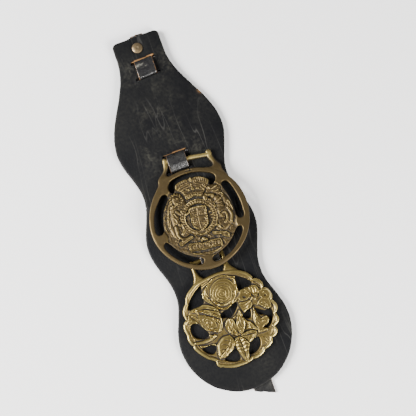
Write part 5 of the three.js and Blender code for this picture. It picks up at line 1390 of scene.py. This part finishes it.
def leaves(r):
    r.limb(strokes("-33.6,-7.5 -27.3,-8.8 -20.9,-8.7 -16.9,-7.5")[0], (1.1, 1.5, 1.4), 3.5)
    r.limb(strokes("-30.5,-11.3 -25,-13.4 -19.8,-13.9")[0], (0.8, 1.1, 1.0), 3.3)
    petal(r, "-21.2,-5.2 -19.2,-5.8 -17.5,-7.8 -19.2,-9.2 -20.9,-8.1", 2.6, 3.6, 0.8)
    leaf(
        r,
        "2.2,-14.7 5.7,-13.9 10.3,-13.9 15,-16.2 13.8,-19.1 10.3,-21.1 6.8,-22.3 5.1,-19.1",
        "3.4,-15.3 8,-16.5 13.8,-17.1",
        "5.7,-14.4 8,-16.2; 6.2,-18.5 8.6,-16.8; 9.1,-14.4 10.9,-16.6; 9.7,-19.9 11.4,-17.3",
        2.3,
        3.4,
    )
    leaf(
        r,
        "-5.8,-11.8 -9.4,-10.7 -12.8,-11 -18,-14.7 -19.5,-19.1 -20.3,-25.1 -16.3,-26.1 -11.7,-25.1 -6.5,-21.1 -4.2,-16.8",
        "-5.6,-14.7 -10.5,-19.1 -15.7,-22 -19.5,-24",
        "-7.1,-16.2 -9.4,-14.4 -11.7,-13.9; -9.9,-18.5 -12.8,-16.2 -15.1,-16.2; -12.8,-20.5 -15.7,-19.1 -17.5,-19.7; -7.1,-16.2 -7.1,-19.1 -7.6,-20.8; -9.9,-18.5 -10.2,-21.4 -11.7,-23.7; -13.4,-20.8 -14,-23.1 -15.1,-24.6",
        2.5,
        3.9,
    )
    r.ridges(0.6, 0.5, "-6.8,-15.6 -11.1,-19.9 -16.3,-22.8 -19.2,-24.6; -4.2,-17.1 -6.5,-20.9 -11.7,-25 -16.3,-26.1")
    leaf(
        r,
        "-0.1,-14.7 -2.7,-15.6 -4.3,-17.6 -5,-22 -4.2,-27.2 -2.9,-31.8 -0.7,-36.1 2.2,-32.4 5.1,-27.5 6.4,-23.1 4.6,-19.1 2.2,-16.2",
        "0,-15.3 0.3,-22.5 -0.1,-29.5 -0.7,-34.1",
        "0.2,-17.9 -1.8,-16.8 -3.3,-17.6; 0.3,-20.2 -2.1,-18.8 -3.9,-19.7; 0.3,-23.1 -2.1,-21.7 -4.2,-22.5; 0.2,-26 -2.1,-24.6 -3.9,-25.1; 0,-28.9 -1.8,-27.7 -3.1,-28; 0.2,-17.9 1.9,-16.8 3.4,-18.2; 0.3,-20.2 2.8,-18.8 4.8,-20.2; 0.3,-23.1 3.1,-21.7 5.4,-22.5; 0.2,-26 2.5,-24.6 5.1,-25.1; 0,-28.9 1.6,-27.7 3.6,-28",
        2.6,
        4.0,
    )
    r.ridges(0.45, 0.35, "0.3,-19.1 -2,-17.7 -3.6,-18.5; 0.3,-21.7 -2.1,-20.2 -4,-21.1; 0.2,-24.6 -2.1,-23.1 -4,-23.8; 0.1,-27.5 -2,-26.1 -3.5,-26.6; 0.3,-19.1 2.4,-17.7 4,-19.2; 0.3,-21.7 2.9,-20.2 5.1,-21.4; 0.2,-24.6 2.8,-23.1 5.2,-23.8; 0.1,-27.5 2.1,-26.1 4.4,-26.6")


def flower_brass():
    r, depth = flower_blank()
    x, y = r.x, r.y
    inside = smoothstep((33.8 - np.hypot(x, y)) / 1.0)
    r.z += inside * (0.08 * soft_noise(x, y, 1.6, 31) + 0.03 * soft_noise(x, y, 0.8, 32))
    leaves(r)
    small_flower(r)
    side_rose(r)
    five_petals(r)
    middle_bud(r)
    open_rose(r)
    flower_rim(r)
    r.z += 0.04 * soft_noise(x, y, 2.6, 33) + 0.012 * soft_noise(x, y, 0.9, 34)
    r.z = np.minimum(r.z, 4.78)
    # A brighter band round the rim, strongest at the sides and the bottom and nothing at the top: painted highlight
    # where the lamps catch the rim.
    rim = np.exp(-(((depth_of_rim(r) - 1.2) / 0.9) ** 2))
    wear_and_highlight = 0.35 * rim * smoothstep((-0.35 * y - np.abs(x + 3) * -0.5 - 9) / 14)
    mesh = cast_mesh("flower_casting", r, depth, 0.9, FLOWER_PLACE, wear_and_highlight)
    finish = {
        "Metal": (0.2, 0.145, 0.047),
        "Stain": (0.14, 0.098, 0.033),
        "Bright": (0.7, 0.56, 0.2),
        "Rub": 0.5,
        "Tarnish": (0.015, 0.01, 0.005),
        "Hollow": 0.3,
        "Edge": 0.4,
        "Staining": 0.5,
        "Polish": 0.6,
    }
    piece = show("flower_brass_casting", mesh, brass_material("polished_brass", finish, 0.3), 38)
    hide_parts("flower_brass")
    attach(piece, "root")


flower_brass()

# ======================================================================================================
# Corners of a box, rounded to six places

def corners(box):
    return [[round(value, 6) for value in corner] for corner in box]
